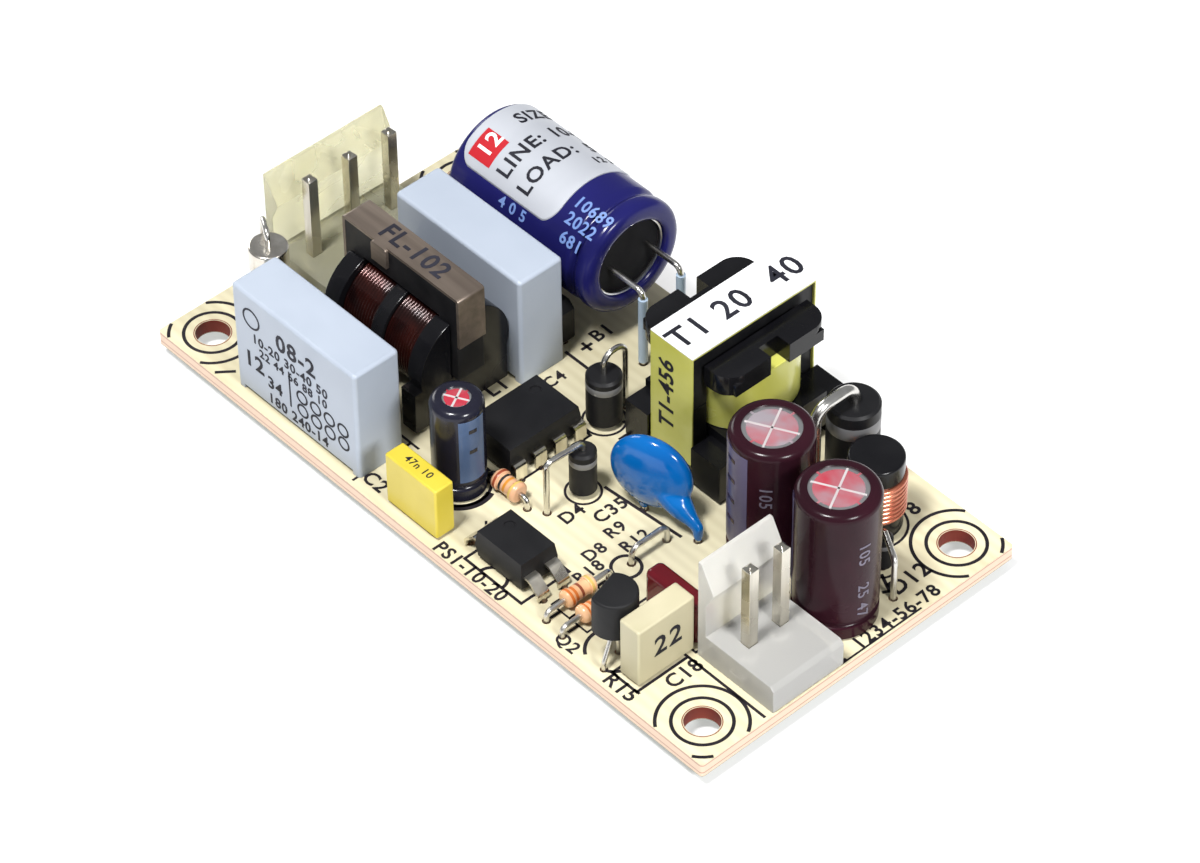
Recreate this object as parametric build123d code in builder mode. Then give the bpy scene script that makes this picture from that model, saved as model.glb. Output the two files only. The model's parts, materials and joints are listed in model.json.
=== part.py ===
from build123d import *
import math
import os

# An open frame power supply: one circuit board with its parts standing on it.
# Sizes are in millimetres. The origin is the centre of the four bolt holes on the
# board's underside, +X runs to the output header, +Y to the far long side, +Z up.

# The board and how leads go through it
board_length = 77.5
board_width = 40.2
board_t = 1.6
board_corner_r = 0.4
bolt_hole_r = 1.75
bolt_inset_x = 3.89
bolt_inset_y = 3.73
lead_tip = 1.5
hole_clearance = 0.15
solder_width = 0.7
solder_lip = 0.12
standoff = 0.4
fine_edge = 0.15
top_fillet_share = 0.9
wire_bend = 0.9

bolt_spacing_x = board_length - 2 * bolt_inset_x
bolt_spacing_y = board_width - 2 * bolt_inset_y
seat_z = board_t + standoff

# Pin headers, input at the -X end and output at the +X end
header_depth = 10.0
header_base_h = 3.2
header_wall_h = 12.3
header_wall_t = 1.1
header_wall_top_t = 0.45
header_ramp_reach = 2.1
header_ramp_h = 9.2
header_undercut_h = 7.1
header_margin = 2.5
header_pin_w = 1.14
header_pin_h = 13.2
header_pin_tip = 0.35
header_pin_setback = 4.2
header_edge_gap = 0.35
input_pitch = 5.08
input_pins = 3
input_y = 1.35
output_pitch = 3.96
output_pins = 2
output_y = -6.6

# Fuse, standing on one end
fuse_x = -32.0
fuse_y = -11.0
fuse_r = 1.75
fuse_length = 9.8
fuse_cap_t = 0.25
fuse_cap_h = 2.6
fuse_lead_r = 0.3
fuse_lead_rise = 1.5
fuse_lead_dx = -2.4
fuse_lead_dy = 1.3

# The two mains suppression capacitors in pale boxes
xcap_length = 18.0
xcap_width = 5.6
xcap_height = 13.4
xcap_edge_r = 0.45
xcap_foot_length = 1.0
xcap_foot_h = 0.5
xcap_pitch = 15.0
xcap_lead_r = 0.4
xcap_front_x = -18.7
xcap_front_y = -16.2
xcap_rear_x = -17.65
xcap_rear_y = 3.55

# Mains filter choke
choke_x = -17.5
choke_y = -4.85
choke_core_length = 16.1
choke_core_leg = 2.6
choke_core_t = 3.3
choke_core_top_h = 15.1
choke_core_arm = 3.3
choke_axis_h = 6.5
choke_flange_r = 5.6
choke_middle_r = 5.2
choke_flange_t = 2.0
choke_bobbin_length = 14.4
choke_middle_t = 1.6
choke_tube_r = 2.75
choke_winding_r = 4.9
choke_foot_h = 5.0
choke_foot_front = 6.5
choke_foot_back = 5.3
choke_fit = 0.1
choke_clip_t = 0.35
choke_clip_drop = 6.2
choke_tab_w = 2.2
choke_tab_h = 2.4
choke_tab_share = 0.33
choke_pin_r = 0.35
choke_pin_inset = 1.1

# Bulk capacitor, lying along X
bulk_end_x = -7.1
bulk_y = 13.95
bulk_axis_h = 9.45
bulk_r = 6.25
bulk_length = 20.2
bulk_groove_at = 2.2
bulk_bung_r = 4.2
bulk_bung_t = 2.4
bulk_bung_depth = 0.7
bulk_pitch = 5.0
bulk_lead_r = 0.3
bulk_lead_reach = 4.15
bulk_tube_t = 0.18
bulk_label_from = 0.8
bulk_label_length = 13.5
bulk_label_turn = 132.0
bulk_label_start = 15.0
bulk_label_corner_r = 1.6
bulk_label_t = 0.12

# All wound capacitors in metal cans
can_sleeve_t = 0.15
can_groove_depth = 0.4
can_groove_w = 0.9
can_edge_r = 0.8
can_lip = 1.25
can_base_lip = 1.0
can_bung_t = 1.4
can_bung_depth = 0.3
can_vent_w = 0.25
can_vent_depth = 0.12
can_lead_r = 0.3

# Small electrolytic beside the controller
bias_x = -2.75
bias_y = -12.45
bias_r = 2.65
bias_height = 11.2
bias_pitch = 2.0

# Output electrolytics
output_cap_r = 4.1
output_cap_height = 15.7
output_cap_pitch = 3.5
output_cap_one_x = 23.4
output_cap_one_y = 3.1
output_cap_two_x = 33.1
output_cap_two_y = 2.1

# Bridge rectifier under the bulk capacitor
bridge_x = -14.3
bridge_y = 7.8
bridge_length = 8.6
bridge_t = 2.2
bridge_height = 4.6
bridge_corner = 0.9
bridge_pitch = 2.54
bridge_lead_r = 0.3
bridge_leads = 4

# Controller chip and optocoupler
flat_pin_t = 0.25
flat_pin_w = 0.5
flat_shoulder_w = 1.4
flat_bend = 0.3
flat_blade_h = 0.9
flat_shoulder_share = 1 / 3
flat_reach_share = 2 / 3
moulding_draft = 7.0
dimple_r = 0.55
dimple_depth = 0.15
chip_x = -3.0
chip_y = -4.05
chip_width = 6.4
chip_length = 9.2
chip_height = 3.3
chip_pitch = 2.54
chip_rows = 4
chip_span = 7.62
opto_x = 8.8
opto_y = -15.57
opto_width = 6.5
opto_length = 4.6
opto_height = 3.3
opto_rows = 2
opto_span = 10.16

# Film capacitors in boxes
film_lead_r = 0.28
film_edge_r = 0.25
film_pitch = 5.0
yellow_x = -2.1
yellow_y = -17.9
yellow_length = 7.2
yellow_width = 2.3
yellow_height = 6.5
beige_x = 26.7
beige_y = -14.35
beige_length = 7.0
beige_width = 2.6
beige_height = 7.2
maroon_x = 24.35
maroon_y = -9.5
maroon_length = 7.1
maroon_width = 2.2
maroon_height = 5.0
maroon_edge_r = 0.7

# Ceramic disc capacitor
disc_x = 12.3
disc_y = -1.6
disc_axis_h = 5.3
disc_r = 4.35
disc_turn = 20
disc_half_t = 1.65
disc_profile_shares = ((0.3, 1.0), (0.7, 0.74), (0.93, 0.38), (1.0, 0.0))
disc_lead_r = 0.3
disc_coat_r = 0.6
disc_coat_bend = 0.7
disc_coat_end_h = 0.6
disc_tail_x = 18.1
disc_tail_y = -1.1
disc_tail_h = 1.7
disc_tail_root_share = 0.45
disc_tail_drop_share = 1 / 3
disc_taper_share = 2 / 3
disc_tail_root_r = 1.45
disc_stub_x = 11.6
disc_stub_y = -1.9

# Small diodes, each standing on one lead with the other looped over beside it
diode_a_x = 5.95
diode_a_y = -4.55
diode_a_r = 1.35
diode_a_length = 5.3
diode_a_rise = 0.8
diode_a_bend = 0.6
diode_a_hole_dx = -0.2
diode_a_hole_dy = -4.45
diode_b_x = 0.25
diode_b_y = 3.4
diode_b_r = 1.8
diode_b_length = 5.9
diode_b_rise = 2.2
diode_b_bend = 1.2
diode_b_hole_dx = 0.0
diode_b_hole_dy = 2.75
diode_c_x = 32.3
diode_c_y = 9.1
diode_c_r = 0.95
diode_c_length = 3.9
diode_c_rise = 0.8
diode_c_bend = 0.6
diode_c_hole_dx = 3.5
diode_c_hole_dy = -2.05
diode_lead_r = 0.3
diode_end_chamfer = 0.25

# Output rectifier diode
rectifier_x = 22.3
rectifier_y = 14.9
rectifier_r = 2.6
rectifier_length = 10.4
rectifier_lead_r = 0.6
rectifier_loop_rise = 1.9
rectifier_hole_dy = -5.1
rectifier_bend = 1.6

# Resistors
resistor_lead_r = 0.28
resistor_waist_share = 0.84
resistor_bell_share = 0.24
brown_resistor_x = 1.5
brown_resistor_y = -10.0
brown_resistor_r = 1.1
brown_resistor_length = 3.2
brown_resistor_pitch = 5.15
orange_resistor_x = (16.0, 18.45)
orange_resistor_y = (-14.35, -14.6)
orange_resistor_r = 0.95
orange_resistor_length = 3.6
orange_resistor_pitch = 8.0
jumper_x = 16.0
jumper_y = -5.4
jumper_pitch = 4.5
jumper_r = 0.3
jumper_rise = 1.9

# Drum choke in the output filter
drum_x = 27.8
drum_y = 12.45
drum_height = 9.0
drum_r = 2.75
drum_neck_r = 1.4
drum_top_h = 2.3
drum_base_h = 2.3
drum_winding_r = 3.05
drum_pitch = 3.5
drum_pin_r = 0.35

# Small transistor on long legs
transistor_x = 22.95
transistor_y = -16.2
transistor_turn = 16.0
transistor_r = 2.3
transistor_flat = 1.3
transistor_height = 4.4
transistor_lift = 3.6
transistor_leg_r = 0.25
transistor_leg_pitch = 1.27
transistor_leg_dx = 0.45
transistor_hole_pitch = 2.6
transistor_leg_straight = 0.5

# Transformer
transformer_x = 9.25
transformer_y = 11.75
ecore_length = 15.7
ecore_width = 5.2
ecore_height = 13.6
ecore_bottom_h = 2.25
ecore_back = 2.1
ecore_outer_leg = 2.0
ecore_centre_leg = 4.2
ecore_gap = 0.06
core_tape_t = 0.15
core_tape_width = 5.7
transformer_label_t = 0.12
bobbin_length = 16.6
bobbin_left = 6.05
bobbin_right = 6.95
bobbin_rail_h = 4.9
bobbin_flange_t = 1.4
bobbin_tube_t = 0.8
bobbin_fit = 0.15
bobbin_top_length = 13.3
bobbin_top_width = 12.7
bobbin_top_corner_r = 2.2
bobbin_lobe_rise = 0.9
bobbin_notch_w = 2.4
bobbin_notch_depth = 1.7
bobbin_rail_slot = 1.1
winding_length = 11.4
winding_width = 11.9
winding_corner_r = 4.4
transformer_pin_r = 0.35
transformer_pin_pitch = 3.5
transformer_pin_rows = 5
transformer_pin_inset = 1.0

# Every lead that goes through the board adds its place and half width here,
# and the board's holes and the solder joints are made from the list.
lead_places = []
pieces = {}


def keep(piece, name):
    """Label a finished piece and hold it until all of them are written."""
    piece.part.label = name
    pieces[name] = piece


def straight_lead(x, y, top, radius):
    """Stand a round lead in the open block, from its clipped tip up to the given height."""
    lead_places.append((x, y, radius))
    with BuildSketch(Plane.XY.offset(-lead_tip)) as section:
        with Locations((x, y)):
            Circle(radius)
    extrude(section.sketch, amount=top + lead_tip)


def bent_lead(points, radius, bend):
    """Sweep a round lead in the open block through its corners, and down to its clipped tip."""
    last_x, last_y = points[-1][0], points[-1][1]
    lead_places.append((last_x, last_y, radius))
    with BuildLine() as route:
        FilletPolyline(*points, (last_x, last_y, -lead_tip), radius=bend)
    with BuildSketch(Plane(origin=route.line @ 0, z_dir=route.line % 0)) as section:
        Circle(radius)
    sweep(section.sketch, path=route.line)


def gather(made):
    """Hold several like pieces in one node, each still its own solid."""
    with BuildPart() as group:
        for piece in made:
            add(piece.part)
    return group


def block(x, y, low, length, width, height, edge_r):
    """Stand a box with its upright and top edges rounded."""
    with BuildPart() as body:
        with BuildSketch(Plane.XY.offset(low)):
            with Locations((x, y)):
                RectangleRounded(length, width, edge_r)
        extrude(amount=height)
        fillet(body.faces().sort_by(Axis.Z)[-1].edges(), edge_r * top_fillet_share)
    return body


# Headers
def header_housing(wall_x, y, count, pitch):
    """Mould one header: base, friction wall with its ramp, and square pin holes."""
    length = (count - 1) * pitch + 2 * header_margin
    side = Plane(origin=(wall_x, y + length / 2, board_t), x_dir=(1, 0, 0), z_dir=(0, -1, 0))
    with BuildPart() as housing:
        with BuildSketch(side):
            with BuildLine():
                Polyline(
                    (0, 0), (header_depth, 0), (header_depth, header_base_h),
                    (header_wall_t, header_base_h), (header_wall_t, header_undercut_h),
                    (header_ramp_reach, header_ramp_h), (header_wall_top_t, header_wall_h),
                    (0, header_wall_h), close=True,
                )
            make_face()
        extrude(amount=length)
        chamfer(housing.faces().sort_by(Axis.X)[-1].edges().sort_by(Axis.Z)[-1], header_wall_top_t)
        with BuildSketch(Plane.XY.offset(board_t)):
            with Locations((wall_x + header_pin_setback, y)):
                with GridLocations(0, pitch, 1, count):
                    Rectangle(header_pin_w, header_pin_w)
        extrude(amount=header_base_h, mode=Mode.SUBTRACT)
    return housing


def header_pins(wall_x, y, count, pitch):
    """Stand the square pins of one header, pointed at both ends."""
    pin_x = wall_x + header_pin_setback
    with BuildPart() as pins:
        with BuildSketch(Plane.XY.offset(-lead_tip)):
            with Locations((pin_x, y)):
                with GridLocations(0, pitch, 1, count):
                    Rectangle(header_pin_w, header_pin_w)
        extrude(amount=header_pin_h + board_t + lead_tip)
        tips = pins.faces().filter_by(Axis.Z).group_by(Axis.Z)[-1]
        chamfer(tips.edges(), header_pin_tip)
    first_y = y - (count - 1) * pitch / 2
    for step in range(count):
        lead_places.append((pin_x, first_y + step * pitch, header_pin_w / math.sqrt(2)))
    return pins


input_wall_x = -board_length / 2 + header_edge_gap
output_wall_x = board_length / 2 - header_depth - header_edge_gap / 2
keep(header_housing(input_wall_x, input_y, input_pins, input_pitch), "input_header_housing")
keep(header_pins(input_wall_x, input_y, input_pins, input_pitch), "input_header_pins")
keep(header_housing(output_wall_x, output_y, output_pins, output_pitch), "output_header_housing")
keep(header_pins(output_wall_x, output_y, output_pins, output_pitch), "output_header_pins")

# Fuse: a tube with a metal cup on each end
fuse_top = seat_z + fuse_length
with BuildPart() as fuse_body:
    with BuildSketch(Plane.XY.offset(seat_z + fuse_cap_t)):
        with Locations((fuse_x, fuse_y)):
            Circle(fuse_r)
    extrude(amount=fuse_length - 2 * fuse_cap_t)
keep(fuse_body, "fuse_body")

with BuildPart() as fuse_end_caps:
    for low in (seat_z, fuse_top - fuse_cap_h):
        with BuildSketch(Plane.XY.offset(low)):
            with Locations((fuse_x, fuse_y)):
                Circle(fuse_r + fuse_cap_t)
        extrude(amount=fuse_cap_h)
    rims = fuse_end_caps.edges().filter_by(GeomType.CIRCLE).sort_by(Axis.Z)
    fillet([rims[0], rims[-1]], fuse_cap_t)
    with BuildSketch(Plane.XY.offset(seat_z + fuse_cap_t)):
        with Locations((fuse_x, fuse_y)):
            Circle(fuse_r)
    extrude(amount=fuse_length - 2 * fuse_cap_t, mode=Mode.SUBTRACT)
keep(fuse_end_caps, "fuse_end_caps")

with BuildPart() as fuse_leads:
    straight_lead(fuse_x, fuse_y, seat_z, fuse_lead_r)
    bent_lead(
        [
            (fuse_x, fuse_y, fuse_top), (fuse_x, fuse_y, fuse_top + fuse_lead_rise),
            (fuse_x + fuse_lead_dx, fuse_y + fuse_lead_dy, fuse_top + fuse_lead_rise),
        ],
        fuse_lead_r, wire_bend,
    )
keep(fuse_leads, "fuse_leads")

# Mains suppression capacitors
xcap_places = [(xcap_front_x, xcap_front_y), (xcap_rear_x, xcap_rear_y)]


def xcap_case(x, y):
    """Mould one pale box with a foot at each end of its underside."""
    with BuildPart() as case:
        with BuildSketch(Plane.XY.offset(board_t)):
            with Locations((x, y)):
                RectangleRounded(xcap_length, xcap_width, xcap_edge_r)
        extrude(amount=xcap_height)
        fillet(case.faces().sort_by(Axis.Z)[-1].edges(), xcap_edge_r * top_fillet_share)
        with BuildSketch(Plane.XY.offset(board_t)):
            with Locations((x, y)):
                Rectangle(xcap_length - 2 * xcap_foot_length, xcap_width)
        extrude(amount=xcap_foot_h, mode=Mode.SUBTRACT)
    return case


keep(xcap_case(xcap_front_x, xcap_front_y), "x_capacitor_front_case")
keep(xcap_case(xcap_rear_x, xcap_rear_y), "x_capacitor_rear_case")

with BuildPart() as x_capacitor_leads:
    for x, y in xcap_places:
        for side in (-1, 1):
            straight_lead(x + side * xcap_pitch / 2, y, board_t + xcap_foot_h, xcap_lead_r)
keep(x_capacitor_leads, "x_capacitor_leads")

# Mains filter choke: a closed core standing upright, its lower arm through the bobbin
choke_axis_z = board_t + choke_axis_h
choke_core_top = board_t + choke_core_top_h
choke_arm_low = choke_axis_z - choke_core_arm / 2
choke_front = Plane(
    origin=(choke_x, choke_y + choke_core_t / 2, 0), x_dir=(1, 0, 0), z_dir=(0, -1, 0)
)
choke_core_height = choke_core_top - choke_arm_low
with BuildPart() as choke_core:
    with BuildSketch(choke_front):
        for side in (-1, 1):
            with Locations((side * choke_core_length / 4, choke_arm_low + choke_core_height / 2)):
                Rectangle(choke_core_length / 2, choke_core_height)
        with Locations((0, choke_arm_low + choke_core_height / 2)):
            Rectangle(
                choke_core_length - 2 * choke_core_leg, choke_core_height - 2 * choke_core_arm,
                mode=Mode.SUBTRACT,
            )
    extrude(amount=choke_core_t)
keep(choke_core, "choke_core")

choke_side = Plane(
    origin=(choke_x - choke_bobbin_length / 2, choke_y, choke_axis_z), x_dir=(0, 1, 0), z_dir=(1, 0, 0)
)
choke_wall_steps = (
    0,
    (choke_bobbin_length - choke_middle_t) / 2,
    choke_bobbin_length - choke_flange_t,
)
choke_foot_length = choke_foot_front + choke_foot_back
with BuildPart() as choke_bobbin:
    with BuildSketch(choke_side):
        Circle(choke_tube_r)
    extrude(amount=choke_bobbin_length)
    for step, wall_t, wall_r in zip(
        choke_wall_steps,
        (choke_flange_t, choke_middle_t, choke_flange_t),
        (choke_flange_r, choke_middle_r, choke_flange_r),
    ):
        with BuildSketch(choke_side.offset(step)):
            Circle(wall_r)
        extrude(amount=wall_t)
    for step in (choke_wall_steps[0], choke_wall_steps[-1]):
        with BuildSketch(choke_side.offset(step)):
            with Locations(((choke_foot_back - choke_foot_front) / 2, standoff - choke_axis_h)):
                Rectangle(choke_foot_length, choke_foot_h, align=(Align.CENTER, Align.MIN))
        extrude(amount=choke_flange_t)
    with BuildSketch(choke_side):
        Rectangle(choke_core_t + 2 * choke_fit, choke_core_arm + 2 * choke_fit)
    extrude(amount=choke_bobbin_length, mode=Mode.SUBTRACT)
    for step in (choke_wall_steps[0], choke_wall_steps[-1]):
        with BuildSketch(choke_side.offset(step)):
            with Locations((0, -choke_core_arm / 2 - choke_fit)):
                Rectangle(
                    choke_core_t + 2 * choke_fit, choke_flange_r + choke_core_arm,
                    align=(Align.CENTER, Align.MIN),
                )
        extrude(amount=choke_flange_t, mode=Mode.SUBTRACT)
keep(choke_bobbin, "choke_bobbin")

choke_winding_length = choke_wall_steps[1] - choke_flange_t
with BuildPart() as choke_windings:
    for step in (choke_flange_t, choke_wall_steps[1] + choke_middle_t):
        with BuildSketch(choke_side.offset(step)):
            Circle(choke_winding_r)
            Circle(choke_tube_r, mode=Mode.SUBTRACT)
        extrude(amount=choke_winding_length)
    fillet(choke_windings.edges().filter_by(GeomType.CIRCLE).group_by(SortBy.RADIUS)[-1], wire_bend / 2)
keep(choke_windings, "choke_windings")

clip_half = choke_core_length / 2 + choke_clip_t
clip_top = choke_core_top + choke_clip_t
with BuildPart() as choke_clip:
    with BuildSketch(choke_front):
        with BuildLine():
            Polyline(
                (-clip_half, clip_top - choke_clip_drop), (-clip_half, clip_top),
                (clip_half, clip_top), (clip_half, clip_top - choke_clip_drop),
                (choke_core_length / 2, clip_top - choke_clip_drop),
                (choke_core_length / 2, choke_core_top),
                (-choke_core_length / 2, choke_core_top),
                (-choke_core_length / 2, clip_top - choke_clip_drop), close=True,
            )
        make_face()
    extrude(amount=choke_core_t)
    with BuildSketch(choke_front.offset(choke_core_t)):
        with Locations(((choke_tab_share - 1 / 2) * choke_core_length, clip_top)):
            Rectangle(choke_tab_w, choke_tab_h, align=(Align.CENTER, Align.MAX))
    extrude(amount=choke_clip_t)
    ends = choke_clip.edges().filter_by(Axis.Y).group_by(Axis.Z)[-1]
    fillet(ends, choke_clip_t)
keep(choke_clip, "choke_clip")

choke_pin_front = choke_y - choke_foot_front + choke_pin_inset
choke_pin_back = choke_y + choke_foot_back - choke_pin_inset
with BuildPart() as choke_pins:
    for side in (-1, 1):
        pin_x = choke_x + side * (choke_bobbin_length - choke_flange_t) / 2
        for pin_y in (choke_pin_front, choke_pin_back):
            straight_lead(pin_x, pin_y, seat_z, choke_pin_r)
keep(choke_pins, "choke_pins")


# Wound capacitors in metal cans
def can_outline(radius, length, groove_at, edge_r):
    """Draw half the section of a can: a flat base, a rolled groove and a rounded far edge."""
    low = groove_at - can_groove_w / 2
    high = groove_at + can_groove_w / 2
    corner = edge_r * (1 - 1 / math.sqrt(2))
    Line((0, 0), (radius, 0))
    Line((radius, 0), (radius, low))
    ThreePointArc((radius, low), (radius - can_groove_depth, groove_at), (radius, high))
    Line((radius, high), (radius, length - edge_r))
    ThreePointArc((radius, length - edge_r), (radius - corner, length - corner), (radius - edge_r, length))
    Line((radius - edge_r, length), (0, length))
    Line((0, length), (0, 0))


def can_body(stand, radius, length, groove_at, edge_r, bung_r, bung_t, vent_r):
    """Turn a can: a seat for the bung in its base and a pressed vent cross in its far end."""
    spin_axis = Axis(stand.origin, stand.y_dir)
    base = Plane(origin=stand.origin, z_dir=stand.y_dir)
    with BuildPart() as can:
        with BuildSketch(stand):
            with BuildLine() as half:
                can_outline(radius, length, groove_at, edge_r)
            make_face()
        revolve(axis=spin_axis)
        with BuildSketch(base):
            Circle(bung_r)
        extrude(amount=bung_t, mode=Mode.SUBTRACT)
        with BuildSketch(base.offset(length - can_vent_depth)):
            Rectangle(2 * vent_r, can_vent_w)
            Rectangle(can_vent_w, 2 * vent_r)
        extrude(amount=can_vent_depth, mode=Mode.SUBTRACT)
    return can


def can_sleeve(stand, radius, length, groove_at, edge_r, lip, base_lip):
    """Shrink a sleeve over a can: it follows the groove and turns in over both ends."""
    spin_axis = Axis(stand.origin, stand.y_dir)
    inner_r = radius - can_sleeve_t
    start = Plane(
        origin=stand.origin - stand.y_dir * can_sleeve_t, x_dir=stand.x_dir, z_dir=stand.z_dir
    )
    base = Plane(origin=start.origin, z_dir=stand.y_dir)
    with BuildPart() as sleeve:
        with BuildSketch(start):
            with BuildLine():
                can_outline(radius, length + 2 * can_sleeve_t, groove_at + can_sleeve_t, edge_r)
            make_face()
        revolve(axis=spin_axis)
        with BuildSketch(stand):
            with BuildLine():
                can_outline(inner_r, length, groove_at, edge_r - can_sleeve_t)
            make_face()
        revolve(axis=spin_axis, mode=Mode.SUBTRACT)
        with BuildSketch(base):
            Circle(radius - base_lip)
        extrude(amount=length / 2, mode=Mode.SUBTRACT)
        with BuildSketch(base.offset(length / 2)):
            Circle(radius - lip)
        extrude(amount=length, mode=Mode.SUBTRACT)
    return sleeve


def upright(x, y):
    """Give the plane of a half section that stands on the board, its own Y upwards."""
    return Plane(origin=(x, y, seat_z), x_dir=(1, 0, 0), z_dir=(0, -1, 0))


bulk_z = board_t + bulk_axis_h
bulk_stand = Plane(origin=(bulk_end_x, bulk_y, bulk_z), x_dir=(0, 0, 1), z_dir=(0, -1, 0))
bulk_edge_r = 2 * can_edge_r
bulk_mouth = Plane(origin=bulk_stand.origin, z_dir=bulk_stand.y_dir)
bulk_can_r = bulk_r - can_sleeve_t
bulk_capacitor_can = can_body(
    bulk_stand, bulk_can_r, bulk_length, bulk_groove_at, bulk_edge_r - can_sleeve_t,
    bulk_bung_r, bulk_bung_depth + bulk_bung_t, bulk_r - 2 * can_lip,
)
keep(bulk_capacitor_can, "bulk_capacitor_can")

bulk_capacitor_sleeve = can_sleeve(
    bulk_stand, bulk_r, bulk_length, bulk_groove_at, bulk_edge_r, 2 * can_lip, bulk_r - bulk_bung_r,
)
keep(bulk_capacitor_sleeve, "bulk_capacitor_sleeve")

with BuildPart() as bulk_capacitor_bung:
    with BuildSketch(bulk_mouth.offset(bulk_bung_depth)):
        Circle(bulk_bung_r)
    extrude(amount=bulk_bung_t)
keep(bulk_capacitor_bung, "bulk_capacitor_bung")

bulk_lead_x = bulk_end_x + bulk_lead_reach
bulk_lead_ys = [bulk_y - bulk_pitch / 2, bulk_y + bulk_pitch / 2]
with BuildPart() as bulk_capacitor_leads:
    for y in bulk_lead_ys:
        bent_lead(
            [(bulk_end_x - bulk_bung_depth, y, bulk_z), (bulk_lead_x, y, bulk_z)],
            bulk_lead_r, wire_bend,
        )
keep(bulk_capacitor_leads, "bulk_capacitor_leads")

with BuildPart() as bulk_capacitor_lead_sleeves:
    with BuildSketch(Plane.XY.offset(seat_z)):
        for y in bulk_lead_ys:
            with Locations((bulk_lead_x, y)):
                Circle(bulk_lead_r + bulk_tube_t)
                Circle(bulk_lead_r, mode=Mode.SUBTRACT)
    extrude(amount=bulk_z - wire_bend - seat_z)
keep(bulk_capacitor_lead_sleeves, "bulk_capacitor_lead_sleeves")

# The paper label bends round the sleeve, and its corners are rounded by a plan cut
label_far_x = bulk_end_x - bulk_length + bulk_label_from
label_mid_x = label_far_x + bulk_label_length / 2
label_wall = Plane(origin=(label_far_x, bulk_y, bulk_z), x_dir=(0, 1, 0), z_dir=(1, 0, 0))
label_far_y = bulk_y + bulk_r * math.cos(math.radians(bulk_label_start))
label_near_y = bulk_y + bulk_r * math.cos(math.radians(bulk_label_start + bulk_label_turn))
label_mid_y = (label_far_y + label_near_y) / 2
label_reach = label_far_y - label_near_y
with BuildPart() as bulk_capacitor_label:
    with BuildSketch(label_wall):
        with BuildLine():
            CenterArc((0, 0), bulk_r + bulk_label_t, bulk_label_start, bulk_label_turn)
            CenterArc((0, 0), bulk_r, bulk_label_start, bulk_label_turn)
            for turn in (bulk_label_start, bulk_label_start + bulk_label_turn):
                direction = Vector(math.cos(math.radians(turn)), math.sin(math.radians(turn)))
                Line(direction * bulk_r, direction * (bulk_r + bulk_label_t))
        make_face()
    extrude(amount=bulk_label_length)
    with BuildSketch(Plane.XY.offset(bulk_z)):
        with Locations((label_mid_x, label_mid_y)):
            RectangleRounded(bulk_label_length, label_reach, bulk_label_corner_r)
    extrude(amount=bulk_r + bulk_label_t, mode=Mode.INTERSECT)
keep(bulk_capacitor_label, "bulk_capacitor_label")

radial_caps = [
    (bias_x, bias_y, bias_r, bias_height, bias_pitch),
    (output_cap_one_x, output_cap_one_y, output_cap_r, output_cap_height, output_cap_pitch),
    (output_cap_two_x, output_cap_two_y, output_cap_r, output_cap_height, output_cap_pitch),
]
radial_names = ("bias_capacitor", "output_capacitor_inner", "output_capacitor_outer")
for (x, y, radius, height, pitch), radial_name in zip(radial_caps, radial_names):
    radial_can = can_body(
        upright(x, y), radius - can_sleeve_t, height - can_sleeve_t, 2 * can_edge_r,
        can_edge_r - can_sleeve_t, radius - can_base_lip, can_bung_depth + can_bung_t, radius - can_lip,
    )
    keep(radial_can, f"{radial_name}_can")
    radial_sleeve = can_sleeve(
        upright(x, y), radius, height - can_sleeve_t, 2 * can_edge_r, can_edge_r, can_lip, can_base_lip,
    )
    keep(radial_sleeve, f"{radial_name}_sleeve")

with BuildPart() as radial_capacitor_bungs:
    for x, y, radius, height, pitch in radial_caps:
        with BuildSketch(Plane.XY.offset(seat_z + can_bung_depth)):
            with Locations((x, y)):
                Circle(radius - can_base_lip)
        extrude(amount=can_bung_t)
keep(radial_capacitor_bungs, "radial_capacitor_bungs")

# Bridge rectifier: a thin slab on edge with one corner cut for its plus end
with BuildPart() as bridge_rectifier_body:
    with BuildSketch(Plane(
        origin=(bridge_x, bridge_y + bridge_t / 2, seat_z), x_dir=(1, 0, 0), z_dir=(0, -1, 0)
    )):
        with BuildLine():
            Polyline(
                (-bridge_length / 2, 0), (bridge_length / 2, 0),
                (bridge_length / 2, bridge_height - bridge_corner),
                (bridge_length / 2 - bridge_corner, bridge_height),
                (-bridge_length / 2, bridge_height), close=True,
            )
        make_face()
    extrude(amount=bridge_t)
    chamfer(bridge_rectifier_body.edges().filter_by(Axis.X), fine_edge)
keep(bridge_rectifier_body, "bridge_rectifier_body")

with BuildPart() as bridge_rectifier_leads:
    for step in range(bridge_leads):
        lead_x = bridge_x + (step - (bridge_leads - 1) / 2) * bridge_pitch
        straight_lead(lead_x, bridge_y, seat_z, bridge_lead_r)
keep(bridge_rectifier_leads, "bridge_rectifier_leads")


# Chips moulded round a lead frame
def chip_body(x, y, width, length, height):
    """Mould a chip body: drafted both ways from its parting line, with a dimple at pin one."""
    middle = Plane(origin=(x, y, seat_z + height / 2))
    with BuildPart() as body:
        for plane in (middle, Plane(origin=middle.origin, z_dir=(0, 0, -1))):
            with BuildSketch(plane):
                Rectangle(width, length)
            extrude(amount=height / 2, taper=moulding_draft)
        with BuildSketch(middle.offset(height / 2 - dimple_depth)):
            with Locations((2 * dimple_r - width / 2 + dimple_r, length / 2 - 3 * dimple_r)):
                Circle(dimple_r)
        extrude(amount=dimple_depth, mode=Mode.SUBTRACT)
    return body


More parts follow.
